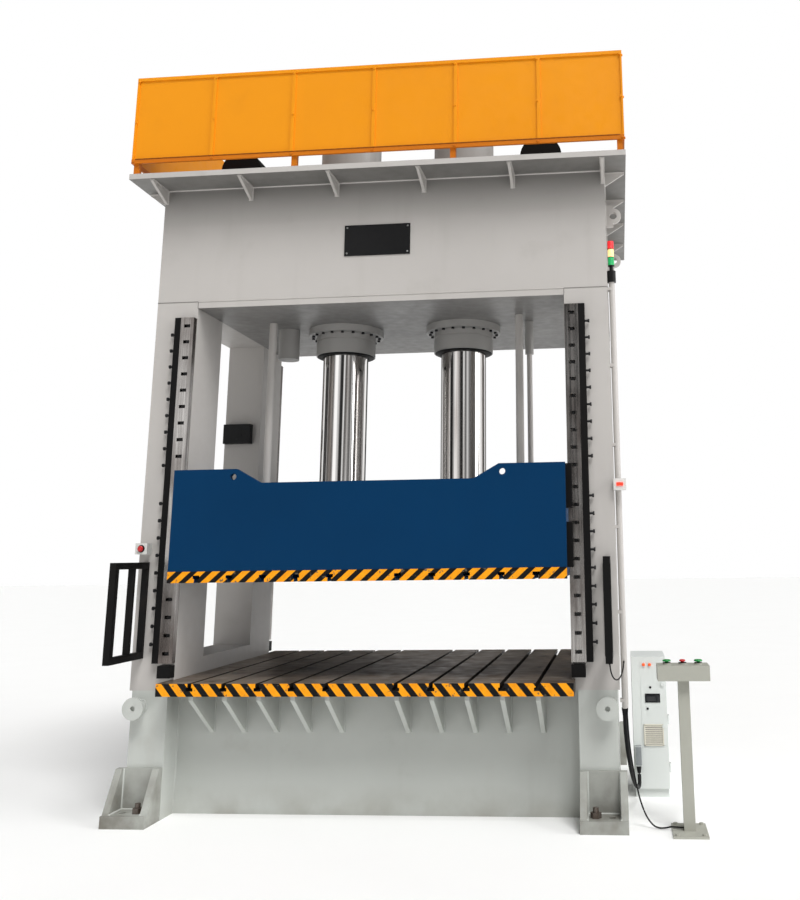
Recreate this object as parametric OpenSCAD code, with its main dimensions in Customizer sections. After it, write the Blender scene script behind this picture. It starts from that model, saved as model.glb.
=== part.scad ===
// Two-cylinder hydraulic moulding press with an H frame on four legs. Millimetres, +Z up, front at -Y.
// The slide is drawn at the height it has in the photograph.

/* [Frame] */
// overall width over the uprights
frame_w = 3340; // [3260:20:3600]
// overall depth over the uprights
frame_d = 1770; // [1500:10:2100]
// width of one leg
leg_w = 312; // [260:2:380]
// depth of one leg
leg_d = 440; // [320:10:520]
// height of the base under the uprights
base_h = 820; // [700:10:950]
// height of the uprights
upright_h = 2740; // [2500:20:3000]
// height of the crown
crown_h = 885; // [700:5:1000]
// depth of the locating step under the crown
crown_step = 50; // [30:1:70]
// how far the base posts stand in from the uprights
base_inset = 20; // [10:1:30]
// how far the base front plate stands behind the legs
base_set = 185; // [120:5:240]
// wall of the base weldment
base_wall = 60; // [40:1:90]
// height of the sill between the legs
sill_h = 180; // [100:5:260]

/* [Bolster] */
// how far the bolster's ears reach past the legs' inner faces
bolster_ear = 22; // [10:1:36]
// how far the bolster stands out in front of the legs
bolster_reach = 215; // [170:5:260]
// bolster thickness
bolster_t = 80; // [76:1:110]
// height of the bolster top above the upright seam
bolster_rise = 70; // [50:1:75]
// T-slots on each side of the centre
slot_n = 5; // [3:1:5]
// pitch of the T-slots
slot_pitch = 230; // [180:2:240]
// width of a T-slot neck
slot_neck = 28; // [18:1:36]
// width of a T-slot head
slot_head = 48; // [40:1:56]
// depth of a T-slot neck
neck_depth = 26; // [20:1:30]
// depth of a T-slot head
head_depth = 22; // [16:1:26]
// thickness of the ribs under the overhang
rib_t = 30; // [16:1:40]
// height of the ribs at the base
rib_h = 290; // [200:5:340]
// thickness of a striped strip
strip_t = 4; // [2:0.5:6]

/* [Slide] */
// gap between a slide plate's edge and the leg's inner face
slide_gap = 6; // [4:1:30]
// how far the slide stands out in front of the legs
slide_reach = 215; // [185:5:260]
// slide height at the shoulders
slide_h = 759; // [650:1:850]
// drop of the middle of the slide plate
slide_dip = 97; // [85:1:140]
// width of a shoulder
shoulder_w = 445; // [350:5:520]
// width of the slope beside a shoulder
slope_w = 172; // [100:2:220]
// gap between slide and bolster in the drawn pose
daylight = 646; // [620:2:720]
// slide plate thickness
plate_t = 40; // [25:1:60]
// web thickness inside the slide
web_t = 36; // [24:1:50]
// thickness of the slide floor
floor_t = 160; // [120:2:200]
// gap beside the slide body
body_gap = 48; // [30:1:70]
// height of the slide's striped strip
slide_strip_h = 74; // [50:1:90]
// lifting hole in a shoulder, diameter
lift_d = 44; // [30:1:60]

/* [Guides] */
// width of a guide plate
gib_w = 98; // [80:1:120]
// thickness of a guide plate
gib_t = 50; // [36:1:60]
// length of a guide plate
gib_len = 2430; // [2300:10:2480]
// bolster top to guide foot
gib_foot = 110; // [100:1:130]
// width of a backing bar
bar_w = 46; // [30:1:60]
// bolt slots in one half of a guide
gib_slots = 10; // [6:1:12]
// height of a bolt slot
gslot_h = 24; // [18:1:30]
// length of a bolt slot
gslot_w = 46; // [36:1:60]
// running play of a guide shoe
shoe_play = 0.5; // [0.3:0.1:1]
// height of a guide shoe
shoe_h = 297; // [220:1:330]
// gap between the two shoes of a corner
shoe_gap = 94; // [60:1:140]
// how far a shoe reaches over the guide plate
shoe_lap = 30; // [20:1:40]
// thickness of a shoe in front of the plate
shoe_t = 64; // [40:1:80]

/* [Cylinders] */
// plunger diameter
ram_d = 360; // [300:2:380]
// plunger distance from the centre
ram_x = 487; // [440:1:560]
// cylinder barrel diameter
barrel_d = 500; // [480:2:540]
// flange diameter
flange_d = 600; // [590:2:660]
// flange thickness
flange_t = 55; // [40:1:80]
// gland diameter
gland_d = 474; // [460:2:520]
// gland height
gland_h = 162; // [120:2:200]
// screws in one flange
flange_n = 20; // [12:1:24]
// top of the plunger above the crown foot
ram_rise = 670; // [640:10:700]
// barrel height above the crown top
barrel_rise = 700; // [690:5:740]

/* [Platform and guard] */
// platform plate thickness
deck_t = 42; // [25:1:60]
// platform overhang at the sides
deck_side = 160; // [120:5:200]
// platform overhang at the front
deck_front = 260; // [220:5:320]
// platform overhang at the rear
deck_rear = 410; // [300:10:460]
// guard height above the platform
guard_h = 778; // [745:1:850]
// gap under the guard panels
guard_gap = 84; // [60:1:120]
// guard panels across the front
guard_n = 6; // [4:1:8]
// height of a gusset under the platform
gusset_h = 106; // [80:1:140]

/* [Stand-alone pieces] */
// pedestal place from the outer edge of the feet
ped_x = 373; // [290:1:500]
// pedestal place from the middle, to the front
ped_y = 1010; // [800:10:1200]
// console width
console_w = 328; // [280:2:400]
// pedestal height to the console top
ped_h = 992; // [900:2:1100]
// cabinet width
cab_w = 245; // [220:1:300]
// cabinet depth
cab_d = 400; // [340:10:520]
// cabinet height
cab_h = 955; // [900:5:1050]

/* [Hidden] */
$fn = 48;
// clearance of a bolted or pushed-in piece
fit = 0.4;
// overrun of a cut through its stock
over = 2;
hx = frame_w / 2;
hy = frame_d / 2;
leg_in = hx - leg_w;
leg_y = hy - leg_d;
leg_cx = hx - leg_w / 2;
leg_cy = hy - leg_d / 2;
bolster_d = (hy + bolster_reach) * 2;
slide_d = (hy + slide_reach) * 2;
bolster_w = (leg_in + bolster_ear) * 2;
slide_w = (leg_in - slide_gap) * 2;
bol_top = base_h + bolster_rise;
bol_bot = bol_top - bolster_t;
body_hy = hy - base_set;
post_in = leg_in + base_inset * 2;
post_out = hx - base_inset;
up_top = base_h + upright_h;
crown_bot = up_top - crown_step;
crown_top = up_top + crown_h;
deck_top = crown_top + deck_t;
deck_x = hx + deck_side;
deck_y0 = -hy - deck_front;
deck_y1 = hy + deck_rear;
// tie rods, as shares of the leg's width and of the rod
tie_share = 0.4;
tie_play_share = 0.02;
nut_share = 1.7;
nut_h_share = 0.8;
tie_d = leg_w * tie_share;
tie_bore = tie_d + leg_w * tie_play_share;
tie_nut = tie_d * nut_share;
tie_nut_h = tie_d * nut_h_share;
tie_low = base_wall * 2;
// base feet
foot_edge = 2;
foot_wide = 52;
foot_in = post_in + foot_edge;
foot_out = post_out + foot_wide;
foot_reach = 208;
foot_t = 75;
foot_h = 330;
foot_gus = 46;
foot_back = 24;
anchor_d = 36;
anchor_hole = 44;
jack_in = 97;
anchor_in = 200;
anchor_share = 0.55;
jack_x = foot_in + jack_in;
anchor_x = foot_in + anchor_in;
anchor_y = hy + foot_reach * anchor_share;
anchor_up = 60;
anchor_nut = 70;
anchor_nut_h = 32;
// trunnions on the base corners
trun_in = 62;
trun_drop = 104;
trun_x = post_out - trun_in;
trun_z = base_h - trun_drop;
trun_d = 90;
trun_disc = 146;
trun_len = 84;
trun_t = 20;
trun_hole = 34;
// slide levels
sl_bot = bol_top + daylight;
sl_top = sl_bot + slide_h;
sl_mid = sl_top - slide_dip;
sl_hx = slide_w / 2;
sl_hy = slide_d / 2;
body_hx = leg_in - body_gap;
cell_nx = 6;
cell_ny = 4;
// guides
gib_back = 2;
gib_in = leg_in + gib_back;
gib_out = gib_in + gib_w;
bar_out = gib_out + bar_w;
gib_z0 = bol_top + gib_foot;
gib_z1 = gib_z0 + gib_len;
gib_end = 64;
gib_mid = 150;
gib_pitch = (gib_len - gib_end * 2 - gib_mid) / (gib_slots * 2 - 2);
gbolt_room = 1;
gbolt_head = gslot_h - gbolt_room;
gbolt_head_h = 16;
gscrew_d = 16;
gscrew_head = 26;
gscrew_head_h = 12;
gscrew_out = 20;
stop_h = 80;
stop_w = 92;
stop_t = 70;
stop_gap = 14;
// rods, buffer and sleeve between slide and crown, set out from the plungers' axes
rod_in = 491;
rod_x = ram_x + rod_in;
rod_y = -350;
rod_d = 60;
rod_rise = 690;
rod_top = up_top + rod_rise;
buf_in = 447;
buf_x = -ram_x - buf_in;
buf_y = -100;
buf_d = 165;
buf_len = 245;
slv_in = 548;
slv_x = ram_x + slv_in;
slv_y = -121;
slv_d = 66;
slv_len = 264;
slv_rod = 42;
rod_play = 1;
// cylinders
gland_z = crown_bot - flange_t - gland_h;
ram_top = up_top + ram_rise;
barrel_top = crown_top + barrel_rise;
barrel_cap = 60;
ram_play = 0.5;
chest_room = 30;
chest_d = ram_d + chest_room;
flange_pc = (flange_d + gland_d) / 2;
fscrew_d = 24;
fscrew_h = 14;
groove_d = 6;
groove_h = 10;
groove_share = 0.68;
clamp_room = 150;
clamp_d = ram_d + clamp_room;
clamp_h = 50;
clamp_n = 12;
clamp_ring = 96;
clamp_pc = ram_d + clamp_ring;
cscrew_d = 30;
cscrew_h = 19;
// guard
sheet_t = 4;
guard_in = 22;
guard_x = deck_x - sheet_t;
guard_y0 = deck_y0 + guard_in;
guard_y1 = deck_y1 - guard_in;
guard_z0 = deck_top + guard_gap;
guard_z1 = deck_top + guard_h;
panel_w = guard_x * 2 / guard_n;
fold_w = 26;
fold_t = 14;
ledge_w = 18;
ledge_h = 34;
post_w = 40;
side_n = 4;
// gussets and lugs on the crown
gus_t = 20;
gus_n = 6;
gus_edge = 12;
side_gus_n = 4;
lug_t = 36;
lug_w = 118;
lug_h = 170;
lug_hole = 56;
lug_y = 560;
lug_drop = 240;
lug_z = crown_top - lug_drop;
// power pack
tank_x = 1150;
tank_d = 560;
tank_h = 470;
tank_back = 70;
tank_lid = 12;
tank_lid_lip = 14;
breather_d = 90;
breather_h = 110;
motor_d = 300;
motor_gap = 58;
motor_len = 420;
motor_y = -580;
motor_z = 210;
pump_d = 190;
pump_len = 230;
bell_d = 250;
bell_len = 120;
mount_h = 60;
mount_w = 320;
fin_n = 14;
fin_h = 10;
motor_x = leg_cx - (tie_nut + motor_d) / 2 - fin_h - motor_gap;
fin_t = 7;
fan_len = 70;
fan_d = 318;
block_w = 250;
block_d = 420;
block_h = 300;
valve_w = 80;
valve_h = 110;
valve_d = 150;
valve_n = 3;
coil_d = 46;
coil_len = 66;
pipe_d = 60;
pipe_z = 150;
pipe_mid_share = 0.5;
// light curtains
cur_in = 58;
cur_x = hx - cur_in;
cur_w = 44;
cur_reach = 450;
cur_y = hy + cur_reach;
cur_low = 140;
cur_high = 785;
cur_z0 = bol_top + cur_low;
cur_z1 = bol_top + cur_high;
cur_mid_share = 0.46;
cur_lens = 20;
cur_lens_t = 2;
// conduit, tower and boxes at the right
con_d = 42;
con_back = 45;
con_y = con_back - hy;
con_off = 11;
con_low = 120;
con_high = 40;
con_x = hx + con_d / 2 + con_off;
con_z0 = base_h - con_low;
con_z1 = up_top + con_high;
clip_w = 70;
clip_h = 20;
clip_n = 6;
tow_d = 46;
tow_base = 62;
tow_base_h = 84;
tow_lamp_h = 62;
tow_pole = 26;
tow_pole_h = 40;
box_w = 86;
box_h = 76;
box_d = 70;
rocker_w = 44;
rocker_h = 22;
rocker_out = 8;
rocker_up = 1332;
stop_up = 948;
rocker_z = base_h + rocker_up;
stop_z = base_h + stop_up;
estop_in = 44;
estop_x = -hx + estop_in;
reader_w = 236;
reader_h = 166;
reader_d = 60;
reader_up = 1920;
reader_z = base_h + reader_up;
reader_in = 127;
reader_x = -hx + reader_in;
reader_eye = 90;
// buttons
mush_d = 40;
mush_h = 14;
stem_d = 22;
stem_h = 16;
collar_d = 50;
collar_h = 10;
btn_play = 0.4;
btn_press = 6;
btn_gap = 1;
// pedestal
ped_cx = foot_out + ped_x;
ped_post = 70;
ped_foot_w = 215;
ped_foot_d = 300;
ped_foot_t = 14;
console_d = 190;
console_h = 92;
btn_pitch = 100;
ped_bolt_d = 14;
ped_bolt_h = 10;
ped_bolt_in = 26;
// cabinet
cab_gap = 85;
cab_x = hx + cab_gap;
cab_y = -150;
cab_wall = 4;
door_t = 20;
door_gap = 0.8;
strip_w = 60;
hinge_d = 14;
hinge_h = 30;
hinge_off = 1;
hinge_leaf = 4;
hinge_leaf_d = 40;
hinge_gap = 0.5;
hinge_shares = [0.12, 0.48, 0.84];
cab_plinth = 60;
handle_d = 26;
handle_h = 10;
window_w = 100;
window_h = 52;
window_share = 0.7;
window_z = cab_h * window_share;
bezel_t = 3;
vent_w = 136;
vent_h = 138;
vent_z = 418;
vent_n = 9;
vent_slit = 7;
lamp_d = 22;
lamp_h = 10;
lamp_drop = 56;
lamp_z = cab_h - lamp_drop;
conn_w = 44;
conn_h = 130;
conn_d = 60;
conn_z = 285;
// cords: hand-chosen points; each run is shifted so that its ends stay on the pieces it joins
lead_d = 9;
thick_d = 26;
thin_d = 10;
cord_gap = 0.5;
lead_back = 185;
lead_up = 300;
thick_off = [-5, 4, 0];
thin_off = [11, -11, 0];
plug_y = 30;
thin_side = 7;
thin_rise = 26;
lead_pts = [[1612, -1150, 1030], [1613, -1149, 1000], [1618, -1140, 960], [1628, -1115, 928],
    [1642, -1075, 908], [1658, -1020, 902], [1674, -960, 914], [1686, -908, 940],
    [1693, -876, 972], [1695, -866, 1000]];
thick_pts = [[1690, -836, 700], [1690, -836, 650], [1692, -829, 580], [1697, -810, 500],
    [1706, -774, 410], [1718, -715, 320], [1732, -635, 240], [1746, -540, 178],
    [1760, -440, 136], [1772, -370, 114], [1780, -305, 110], [1784, -255, 122],
    [1785, -218, 154], [1785, -204, 190], [1785, -203, 220]];
thin_pts = [[1706, -851, 700], [1707, -852, 650], [1711, -857, 560], [1719, -866, 460],
    [1734, -878, 350], [1754, -892, 240], [1780, -908, 140], [1812, -924, 66],
    [1850, -940, 22], [1885, -952, 9], [1925, -966, 12], [1960, -978, 22],
    [1988, -990, 24], [2014, -1001, 25], [2040, -1003, 26]];
// a run of points moved so that it goes from a to b
function reach(p, a, b) = let (n = len(p) - 1)
    [for (i = [0 : n]) p[i] + (a - p[0]) * (1 - i / n) + (b - p[n]) * i / n];
lead_route = reach(lead_pts, [cur_x, lead_back - cur_y, cur_z0 - cord_gap],
    [con_x, con_y - con_d / 2 - lead_d / 2 - cord_gap, con_z0 + lead_up]);
thick_route = reach(thick_pts, [con_x, con_y, con_z0 - cord_gap] + thick_off,
    [cab_x + strip_w / 2, cab_y - door_gap - door_t - plug_y, conn_z - conn_h / 2 - cord_gap]);
thin_route = reach(thin_pts, [con_x, con_y, con_z0 - cord_gap] + thin_off,
    [ped_cx - ped_post / 2 - cord_gap * 2 / 3, thin_side - ped_y, thin_rise]);

// a box from its six faces
module box(x0, x1, y0, y1, z0, z1) {
    translate([x0, y0, z0])
        cube([x1 - x0, y1 - y0, z1 - z0]);
}

// an upright cylinder
module post(x, y, z0, z1, d) {
    translate([x, y, z0])
        cylinder(h = z1 - z0, d = d);
}

// a cylinder along Y
module barrel_y(x, y0, y1, z, d) {
    translate([x, y1, z])
        rotate([90, 0, 0])
            cylinder(h = y1 - y0, d = d);
}

// a cylinder along X
module barrel_x(x0, x1, y, z, d) {
    translate([x0, y, z])
        rotate([0, 90, 0])
            cylinder(h = x1 - x0, d = d);
}

// a plate of thickness t across X, its outline given in Y and Z
module plate_x(x, t, outline) {
    translate([x - t / 2, 0, 0])
        rotate([90, 0, 90])
            linear_extrude(height = t)
                polygon(outline);
}

// a plate of thickness t across Y, its outline given in X and Z
module plate_y(y, t, outline) {
    translate([0, y + t / 2, 0])
        rotate([90, 0, 0])
            linear_extrude(height = t)
                polygon(outline);
}

// the four corners, by mirroring
module corners() {
    for (i = [0, 1])
        for (j = [0, 1])
            mirror([i, 0, 0])
                mirror([0, j, 0])
                    children();
}

// left and right, by mirroring
module sides() {
    for (i = [0, 1])
        mirror([i, 0, 0])
            children();
}

// front and rear, by mirroring
module ends() {
    for (j = [0, 1])
        mirror([0, j, 0])
            children();
}

// places of the T-slots along X
slots_in = min(slot_n, floor((leg_in - slot_head) / slot_pitch));
slot_xs = [for (k = [1 : slots_in]) for (s = [-1, 1]) s * k * slot_pitch];

// one T-slot cut through in Y, its mouth at z and opening up (s = 1) or down (s = -1)
module t_slot(x, z, s, half) {
    n0 = z - s * neck_depth;
    h0 = n0 - s * head_depth;
    box(x - slot_neck / 2, x + slot_neck / 2, -half, half, min(n0, z + s * over), max(n0, z + s * over));
    box(x - slot_head / 2, x + slot_head / 2, -half, half, min(n0, h0), max(n0, h0));
}

module base() {
    color("lightgray") difference() {
        union() {
            box(-post_in, post_in, -body_hy, body_hy, 0, bol_bot);
            corners() box(post_in, post_out, leg_y, hy, 0, base_h);
            sides() box(post_in, post_out, -leg_y, leg_y, 0, base_h);
        }
        for (i = [-1, 0, 1])
            ends() base_cell(i);
        corners() post(leg_cx, leg_cy, -over, base_h + over, tie_bore);
        corners() post(leg_cx, leg_cy, -over, tie_low + tie_nut_h, tie_nut + base_inset / 2);
    }
}

// one open cell under the base
module base_cell(i) {
    step = (post_in * 2 - base_wall) / 3;
    x0 = -post_in + base_wall + (i + 1) * step;
    box(x0, x0 + step - base_wall, base_wall / 2, body_hy - base_wall, -over, bol_bot - base_wall * 2);
}

module feet() {
    color("lightgray") corners() difference() {
        union() {
            box(foot_in, foot_out, hy, hy + foot_reach, 0, foot_t);
            box(foot_in, foot_out, hy, hy + foot_back, 0, foot_h);
            for (x = [foot_in + foot_gus / 2, foot_out - foot_gus / 2])
                plate_x(x, foot_gus, [[hy, foot_t], [hy + foot_reach - foot_back, foot_t],
                    [hy + foot_back * 2, foot_h], [hy, foot_h]]);
        }
        post(anchor_x, anchor_y, -over, foot_t + over, anchor_hole);
        post(jack_x, anchor_y, -over, foot_t + over, anchor_d + fit * 2);
    }
}

module jack_bolts() {
    color("dimgray") corners() {
        post(jack_x, anchor_y, 0, foot_t + anchor_up, anchor_d);
        translate([jack_x, anchor_y, foot_t])
            cylinder(h = anchor_nut_h, d = anchor_nut, $fn = 6);
    }
}

module trunnions() {
    color("lightgray") corners() difference() {
        union() {
            barrel_y(trun_x, hy, hy + trun_len, trun_z, trun_d);
            barrel_y(trun_x, hy + trun_len, hy + trun_len + trun_t, trun_z, trun_disc);
        }
        barrel_y(trun_x, hy + trun_len - over, hy + trun_len + trun_t + over, trun_z, trun_hole);
    }
}

module bolster() {
    color("gray") difference() {
        box(-bolster_w / 2, bolster_w / 2, -bolster_d / 2, bolster_d / 2, bol_bot, bol_top);
        sides() box(leg_in - fit, bolster_w, -hy - fit, hy + fit, bol_bot - over, bol_top + over);
        for (x = slot_xs)
            t_slot(x, bol_top, 1, bolster_d);
    }
}

module bolster_ribs() {
    color("lightgray") ends()
        for (x = slot_xs)
            plate_x(x, rib_t, [[body_hy, bol_bot], [bolster_d / 2 - rib_t, bol_bot],
                [bolster_d / 2 - rib_t, bol_bot - rib_t], [body_hy, bol_bot - rib_h]]);
}

// a striped strip along a front edge, cut where the T-slots come out
module strip_at(y, z0, z1, half, zslot, s) {
    difference() {
        box(-half, half, y - strip_t, y, z0, z1);
        for (x = slot_xs)
            t_slot(x, zslot, s, bolster_d + slide_d);
    }
}

module bolster_strip() {
    color("orange") ends()
        strip_at(-bolster_d / 2, bol_bot, bol_top, bolster_w / 2, bol_top, 1);
}

module upright(m) {
    mirror([m, 0, 0]) difference() {
        union() {
            ends() box(leg_in, hx, leg_y, hy, base_h, up_top);
            box(leg_in, hx, -leg_y, leg_y, base_h, base_h + sill_h);
            box(leg_in, hx, -leg_y, leg_y, crown_bot, up_top);
        }
        ends() post(leg_cx, leg_cy, base_h - over, up_top + over, tie_bore);
    }
}

module upright_left() {
    color("lightgray") upright(1);
}

module upright_right() {
    color("lightgray") upright(0);
}

module crown() {
    color("lightgray") difference() {
        union() {
            box(-hx, hx, -hy, hy, up_top, crown_top);
            box(-leg_in + fit, leg_in - fit, -hy, hy, crown_bot, up_top);
        }
        sides() post(ram_x, 0, crown_bot - over, crown_top + over, barrel_d + fit * 2);
        corners() post(leg_cx, leg_cy, up_top - over, crown_top + over, tie_bore);
        sides() post(rod_x, rod_y, crown_bot - over, crown_top + over, rod_d + rod_play * 2);
        post(slv_x, slv_y, crown_bot - over, crown_top + over, slv_rod + rod_play * 2);
    }
}

module tie_rods() {
    color("dimgray") corners()
        post(leg_cx, leg_cy, base_wall, deck_top + tie_nut_h * 1.2, tie_d);
}

module tie_nuts() {
    color("dimgray") corners()
        for (z = [tie_low, deck_top])
            difference() {
                translate([leg_cx, leg_cy, z])
                    cylinder(h = tie_nut_h, d = tie_nut, $fn = 6);
                post(leg_cx, leg_cy, z - over, z + tie_nut_h + over, tie_d);
            }
}

module platform() {
    color("lightgray") difference() {
        box(-deck_x, deck_x, deck_y0, deck_y1, crown_top, deck_top);
        sides() post(ram_x, 0, crown_top - over, deck_top + over, barrel_d + fit * 2);
        corners() post(leg_cx, leg_cy, crown_top - over, deck_top + over, tie_bore);
        sides() post(rod_x, rod_y, crown_top - over, deck_top + over, rod_d + rod_play * 2);
        post(slv_x, slv_y, crown_top - over, deck_top + over, slv_rod + rod_play * 2);
    }
}

module gussets() {
    gx = hx - gus_t / 2;
    gy = hy - gus_t * 3;
    color("lightgray") {
        for (i = [0 : gus_n - 1]) {
            x = -gx + i * gx * 2 / (gus_n - 1);
            plate_x(x, gus_t, [[-hy, crown_top], [-hy, crown_top - gusset_h],
                [deck_y0 + gus_edge, crown_top - gus_edge], [deck_y0 + gus_edge, crown_top]]);
            plate_x(x, gus_t, [[hy, crown_top], [hy, crown_top - gusset_h],
                [deck_y1 - gus_edge, crown_top - gus_edge], [deck_y1 - gus_edge, crown_top]]);
        }
        sides() for (j = [0 : side_gus_n - 1])
            plate_y(-gy + j * gy * 2 / (side_gus_n - 1), gus_t, [[hx, crown_top], [hx, crown_top - gusset_h],
                [deck_x - gus_edge, crown_top - gus_edge], [deck_x - gus_edge, crown_top]]);
    }
}

module lifting_lugs() {
    color("lightgray") corners() difference() {
        union() {
            box(hx, hx + lug_w / 2, lug_y - lug_t / 2, lug_y + lug_t / 2, lug_z - lug_h / 2, lug_z + lug_h / 2);
            barrel_y(hx + lug_w / 2, lug_y - lug_t / 2, lug_y + lug_t / 2, lug_z, lug_w);
        }
        barrel_y(hx + lug_w / 2, lug_y - lug_t, lug_y + lug_t, lug_z, lug_hole);
        box(hx - lug_w, hx, lug_y - lug_t, lug_y + lug_t, lug_z - lug_h, lug_z + lug_h);
    }
}

module cylinders() {
    color("dimgray") sides() difference() {
        union() {
            post(ram_x, 0, crown_bot, barrel_top, barrel_d);
            post(ram_x, 0, crown_bot - flange_t, crown_bot, flange_d);
        }
        post(ram_x, 0, crown_bot - flange_t - over, crown_bot, ram_d + ram_play * 2);
        post(ram_x, 0, crown_bot - over, barrel_top - barrel_cap, chest_d);
    }
}

module glands() {
    z1 = crown_bot - flange_t;
    zg = gland_z + gland_h * groove_share;
    color("gray") sides() difference() {
        post(ram_x, 0, gland_z, z1, gland_d);
        post(ram_x, 0, gland_z - over, z1 + over, ram_d + ram_play * 2);
        difference() {
            post(ram_x, 0, zg, zg + groove_h, gland_d + over);
            post(ram_x, 0, zg - over, zg + groove_h + over, gland_d - groove_d * 2);
        }
    }
}

module flange_screws() {
    z1 = crown_bot - flange_t;
    color("black") sides()
        for (i = [0 : flange_n - 1])
            translate([ram_x, 0, z1 - fscrew_h])
                rotate([0, 0, (i + 0.5) * 360 / flange_n])
                    translate([flange_pc / 2, 0, 0])
                        cylinder(h = fscrew_h, d = fscrew_d, $fn = 24);
}

// heights of the guide bolts, and of the set screws between them
gib_zs = [for (h = [0, 1]) for (i = [0 : gib_slots - 1])
    gib_z0 + gib_end + i * gib_pitch + h * (gib_mid + (gib_slots - 1) * gib_pitch)];
gib_ss = [for (h = [0, 1]) for (i = [0 : gib_slots - 2])
    gib_z0 + gib_end + (i + 0.5) * gib_pitch + h * (gib_mid + (gib_slots - 1) * gib_pitch)];

module gib_plates() {
    gc = (gib_in + gib_out) / 2;
    color("silver") corners() difference() {
        box(gib_in, gib_out, hy, hy + gib_t, gib_z0, gib_z1);
        for (z = gib_zs)
            box(gc - gslot_w / 2, gc + gslot_w / 2, hy - over, hy + gib_t + over, z - gslot_h / 2, z + gslot_h / 2);
    }
}

module gib_bars() {
    color("black") corners() difference() {
        box(gib_out, bar_out, hy, hy + gib_t, gib_z0, gib_z1);
        for (z = gib_ss)
            barrel_x(gib_out - over, bar_out + over, hy + gib_t / 2, z, gscrew_d + fit * 2);
    }
}

module gib_bolts() {
    gc = (gib_in + gib_out) / 2;
    color("dimgray") corners()
        for (z = gib_zs)
            barrel_y(gc, hy, hy + gib_t - gbolt_head_h, z, gbolt_head);
}

module gib_screws() {
    color("dimgray") corners()
        for (z = gib_ss) {
            barrel_x(gib_out, bar_out + gscrew_out, hy + gib_t / 2, z, gscrew_d);
            barrel_x(bar_out + gscrew_out, bar_out + gscrew_out + gscrew_head_h, hy + gib_t / 2, z, gscrew_head);
        }
}

module gib_stops() {
    color("black") corners()
        box(gib_in, gib_in + stop_w, hy, hy + stop_t, gib_z0 - stop_gap - stop_h, gib_z0 - stop_gap);
}

module buffers() {
    color("dimgray") {
        post(buf_x, buf_y, crown_bot - buf_len, crown_bot, buf_d);
        difference() {
            post(slv_x, slv_y, crown_bot - slv_len, crown_bot, slv_d);
            post(slv_x, slv_y, crown_bot - slv_len - over, crown_bot + over, slv_rod + rod_play * 2);
        }
    }
}

// a guard wall of n panels from x0 to x1 at y, folds on its outer side (s = -1 front, 1 rear)
module guard_wall(x0, x1, n, y, s) {
    w = (x1 - x0) / n;
    box(x0, x1, min(y, y + s * sheet_t), max(y, y + s * sheet_t), guard_z0, guard_z1);
    for (i = [0 : n])
        let (a = max(x0, x0 + i * w - fold_w / 2), b = min(x1, x0 + i * w + fold_w / 2))
            box(a, b, min(y, y + s * fold_t), max(y, y + s * fold_t), guard_z0, guard_z1);
    box(x0, x1, min(y, y + s * fold_t), max(y, y + s * fold_t), guard_z1 - fold_w, guard_z1);
    box(x0, x1, min(y, y + s * ledge_w), max(y, y + s * ledge_w), guard_z0, guard_z0 + ledge_h);
}

module guard_front() {
    color("orange") guard_wall(-guard_x, guard_x, guard_n, guard_y0, -1);
}

module guard_rear() {
    color("orange") guard_wall(-guard_x, guard_x, guard_n, guard_y1, 1);
}

// a side wall between the front and the rear guard, folds outward
module guard_side() {
    w = (guard_y1 - guard_y0) / side_n;
    xs = guard_x - fold_t;
    box(xs, xs + sheet_t, guard_y0, guard_y1, guard_z0, guard_z1);
    for (i = [0 : side_n])
        let (a = max(guard_y0, guard_y0 + i * w - fold_w / 2), b = min(guard_y1, guard_y0 + i * w + fold_w / 2))
            box(xs, guard_x, a, b, guard_z0, guard_z1);
    box(xs, guard_x, guard_y0, guard_y1, guard_z1 - fold_w, guard_z1);
    box(xs, guard_x, guard_y0, guard_y1, guard_z0, guard_z0 + ledge_h);
}

module guard_left() {
    color("orange") mirror([1, 0, 0]) guard_side();
}

module guard_right() {
    color("orange") guard_side();
}

module guard_posts() {
    xs = guard_x - fold_t;
    color("orange") for (y = [guard_y0, guard_y1 - post_w])
        for (x = [-xs, -panel_w, panel_w - post_w, xs - post_w])
            box(x, x + post_w, y, y + post_w, deck_top, guard_z0 + guard_gap * 2);
}

module oil_tank() {
    y1 = guard_y1 - tank_back;
    y0 = y1 - tank_d;
    z1 = deck_top + tank_h;
    color("steelblue") {
        box(-tank_x, tank_x, y0, y1, deck_top, z1);
        box(-tank_x - tank_lid_lip, tank_x + tank_lid_lip, y0 - tank_lid_lip, y1 + tank_lid_lip, z1, z1 + tank_lid);
        sides() post(tank_x / 2, (y0 + y1) / 2, z1 + tank_lid, z1 + tank_lid + breather_h, breather_d);
    }
}

module motors() {
    z = deck_top + motor_z;
    color("steelblue") sides() {
        barrel_y(motor_x, motor_y, motor_y + motor_len, z, motor_d);
        for (i = [1 : fin_n])
            barrel_y(motor_x, motor_y + i * motor_len / (fin_n + 1) - fin_t / 2,
                motor_y + i * motor_len / (fin_n + 1) + fin_t / 2, z, motor_d + fin_h * 2);
        barrel_y(motor_x, motor_y - fan_len, motor_y, z, fan_d);
        box(motor_x - mount_w / 2, motor_x + mount_w / 2, motor_y + mount_h, motor_y + motor_len - mount_h,
            deck_top, deck_top + mount_h);
        box(motor_x - motor_d / 3, motor_x + motor_d / 3, motor_y + mount_h, motor_y + motor_len - mount_h,
            deck_top, z);
    }
}

module pumps() {
    z = deck_top + motor_z;
    y0 = motor_y + motor_len;
    color("dimgray") sides() {
        barrel_y(motor_x, y0, y0 + bell_len, z, bell_d);
        barrel_y(motor_x, y0 + bell_len, y0 + bell_len + pump_len, z, pump_d);
    }
}

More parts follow.
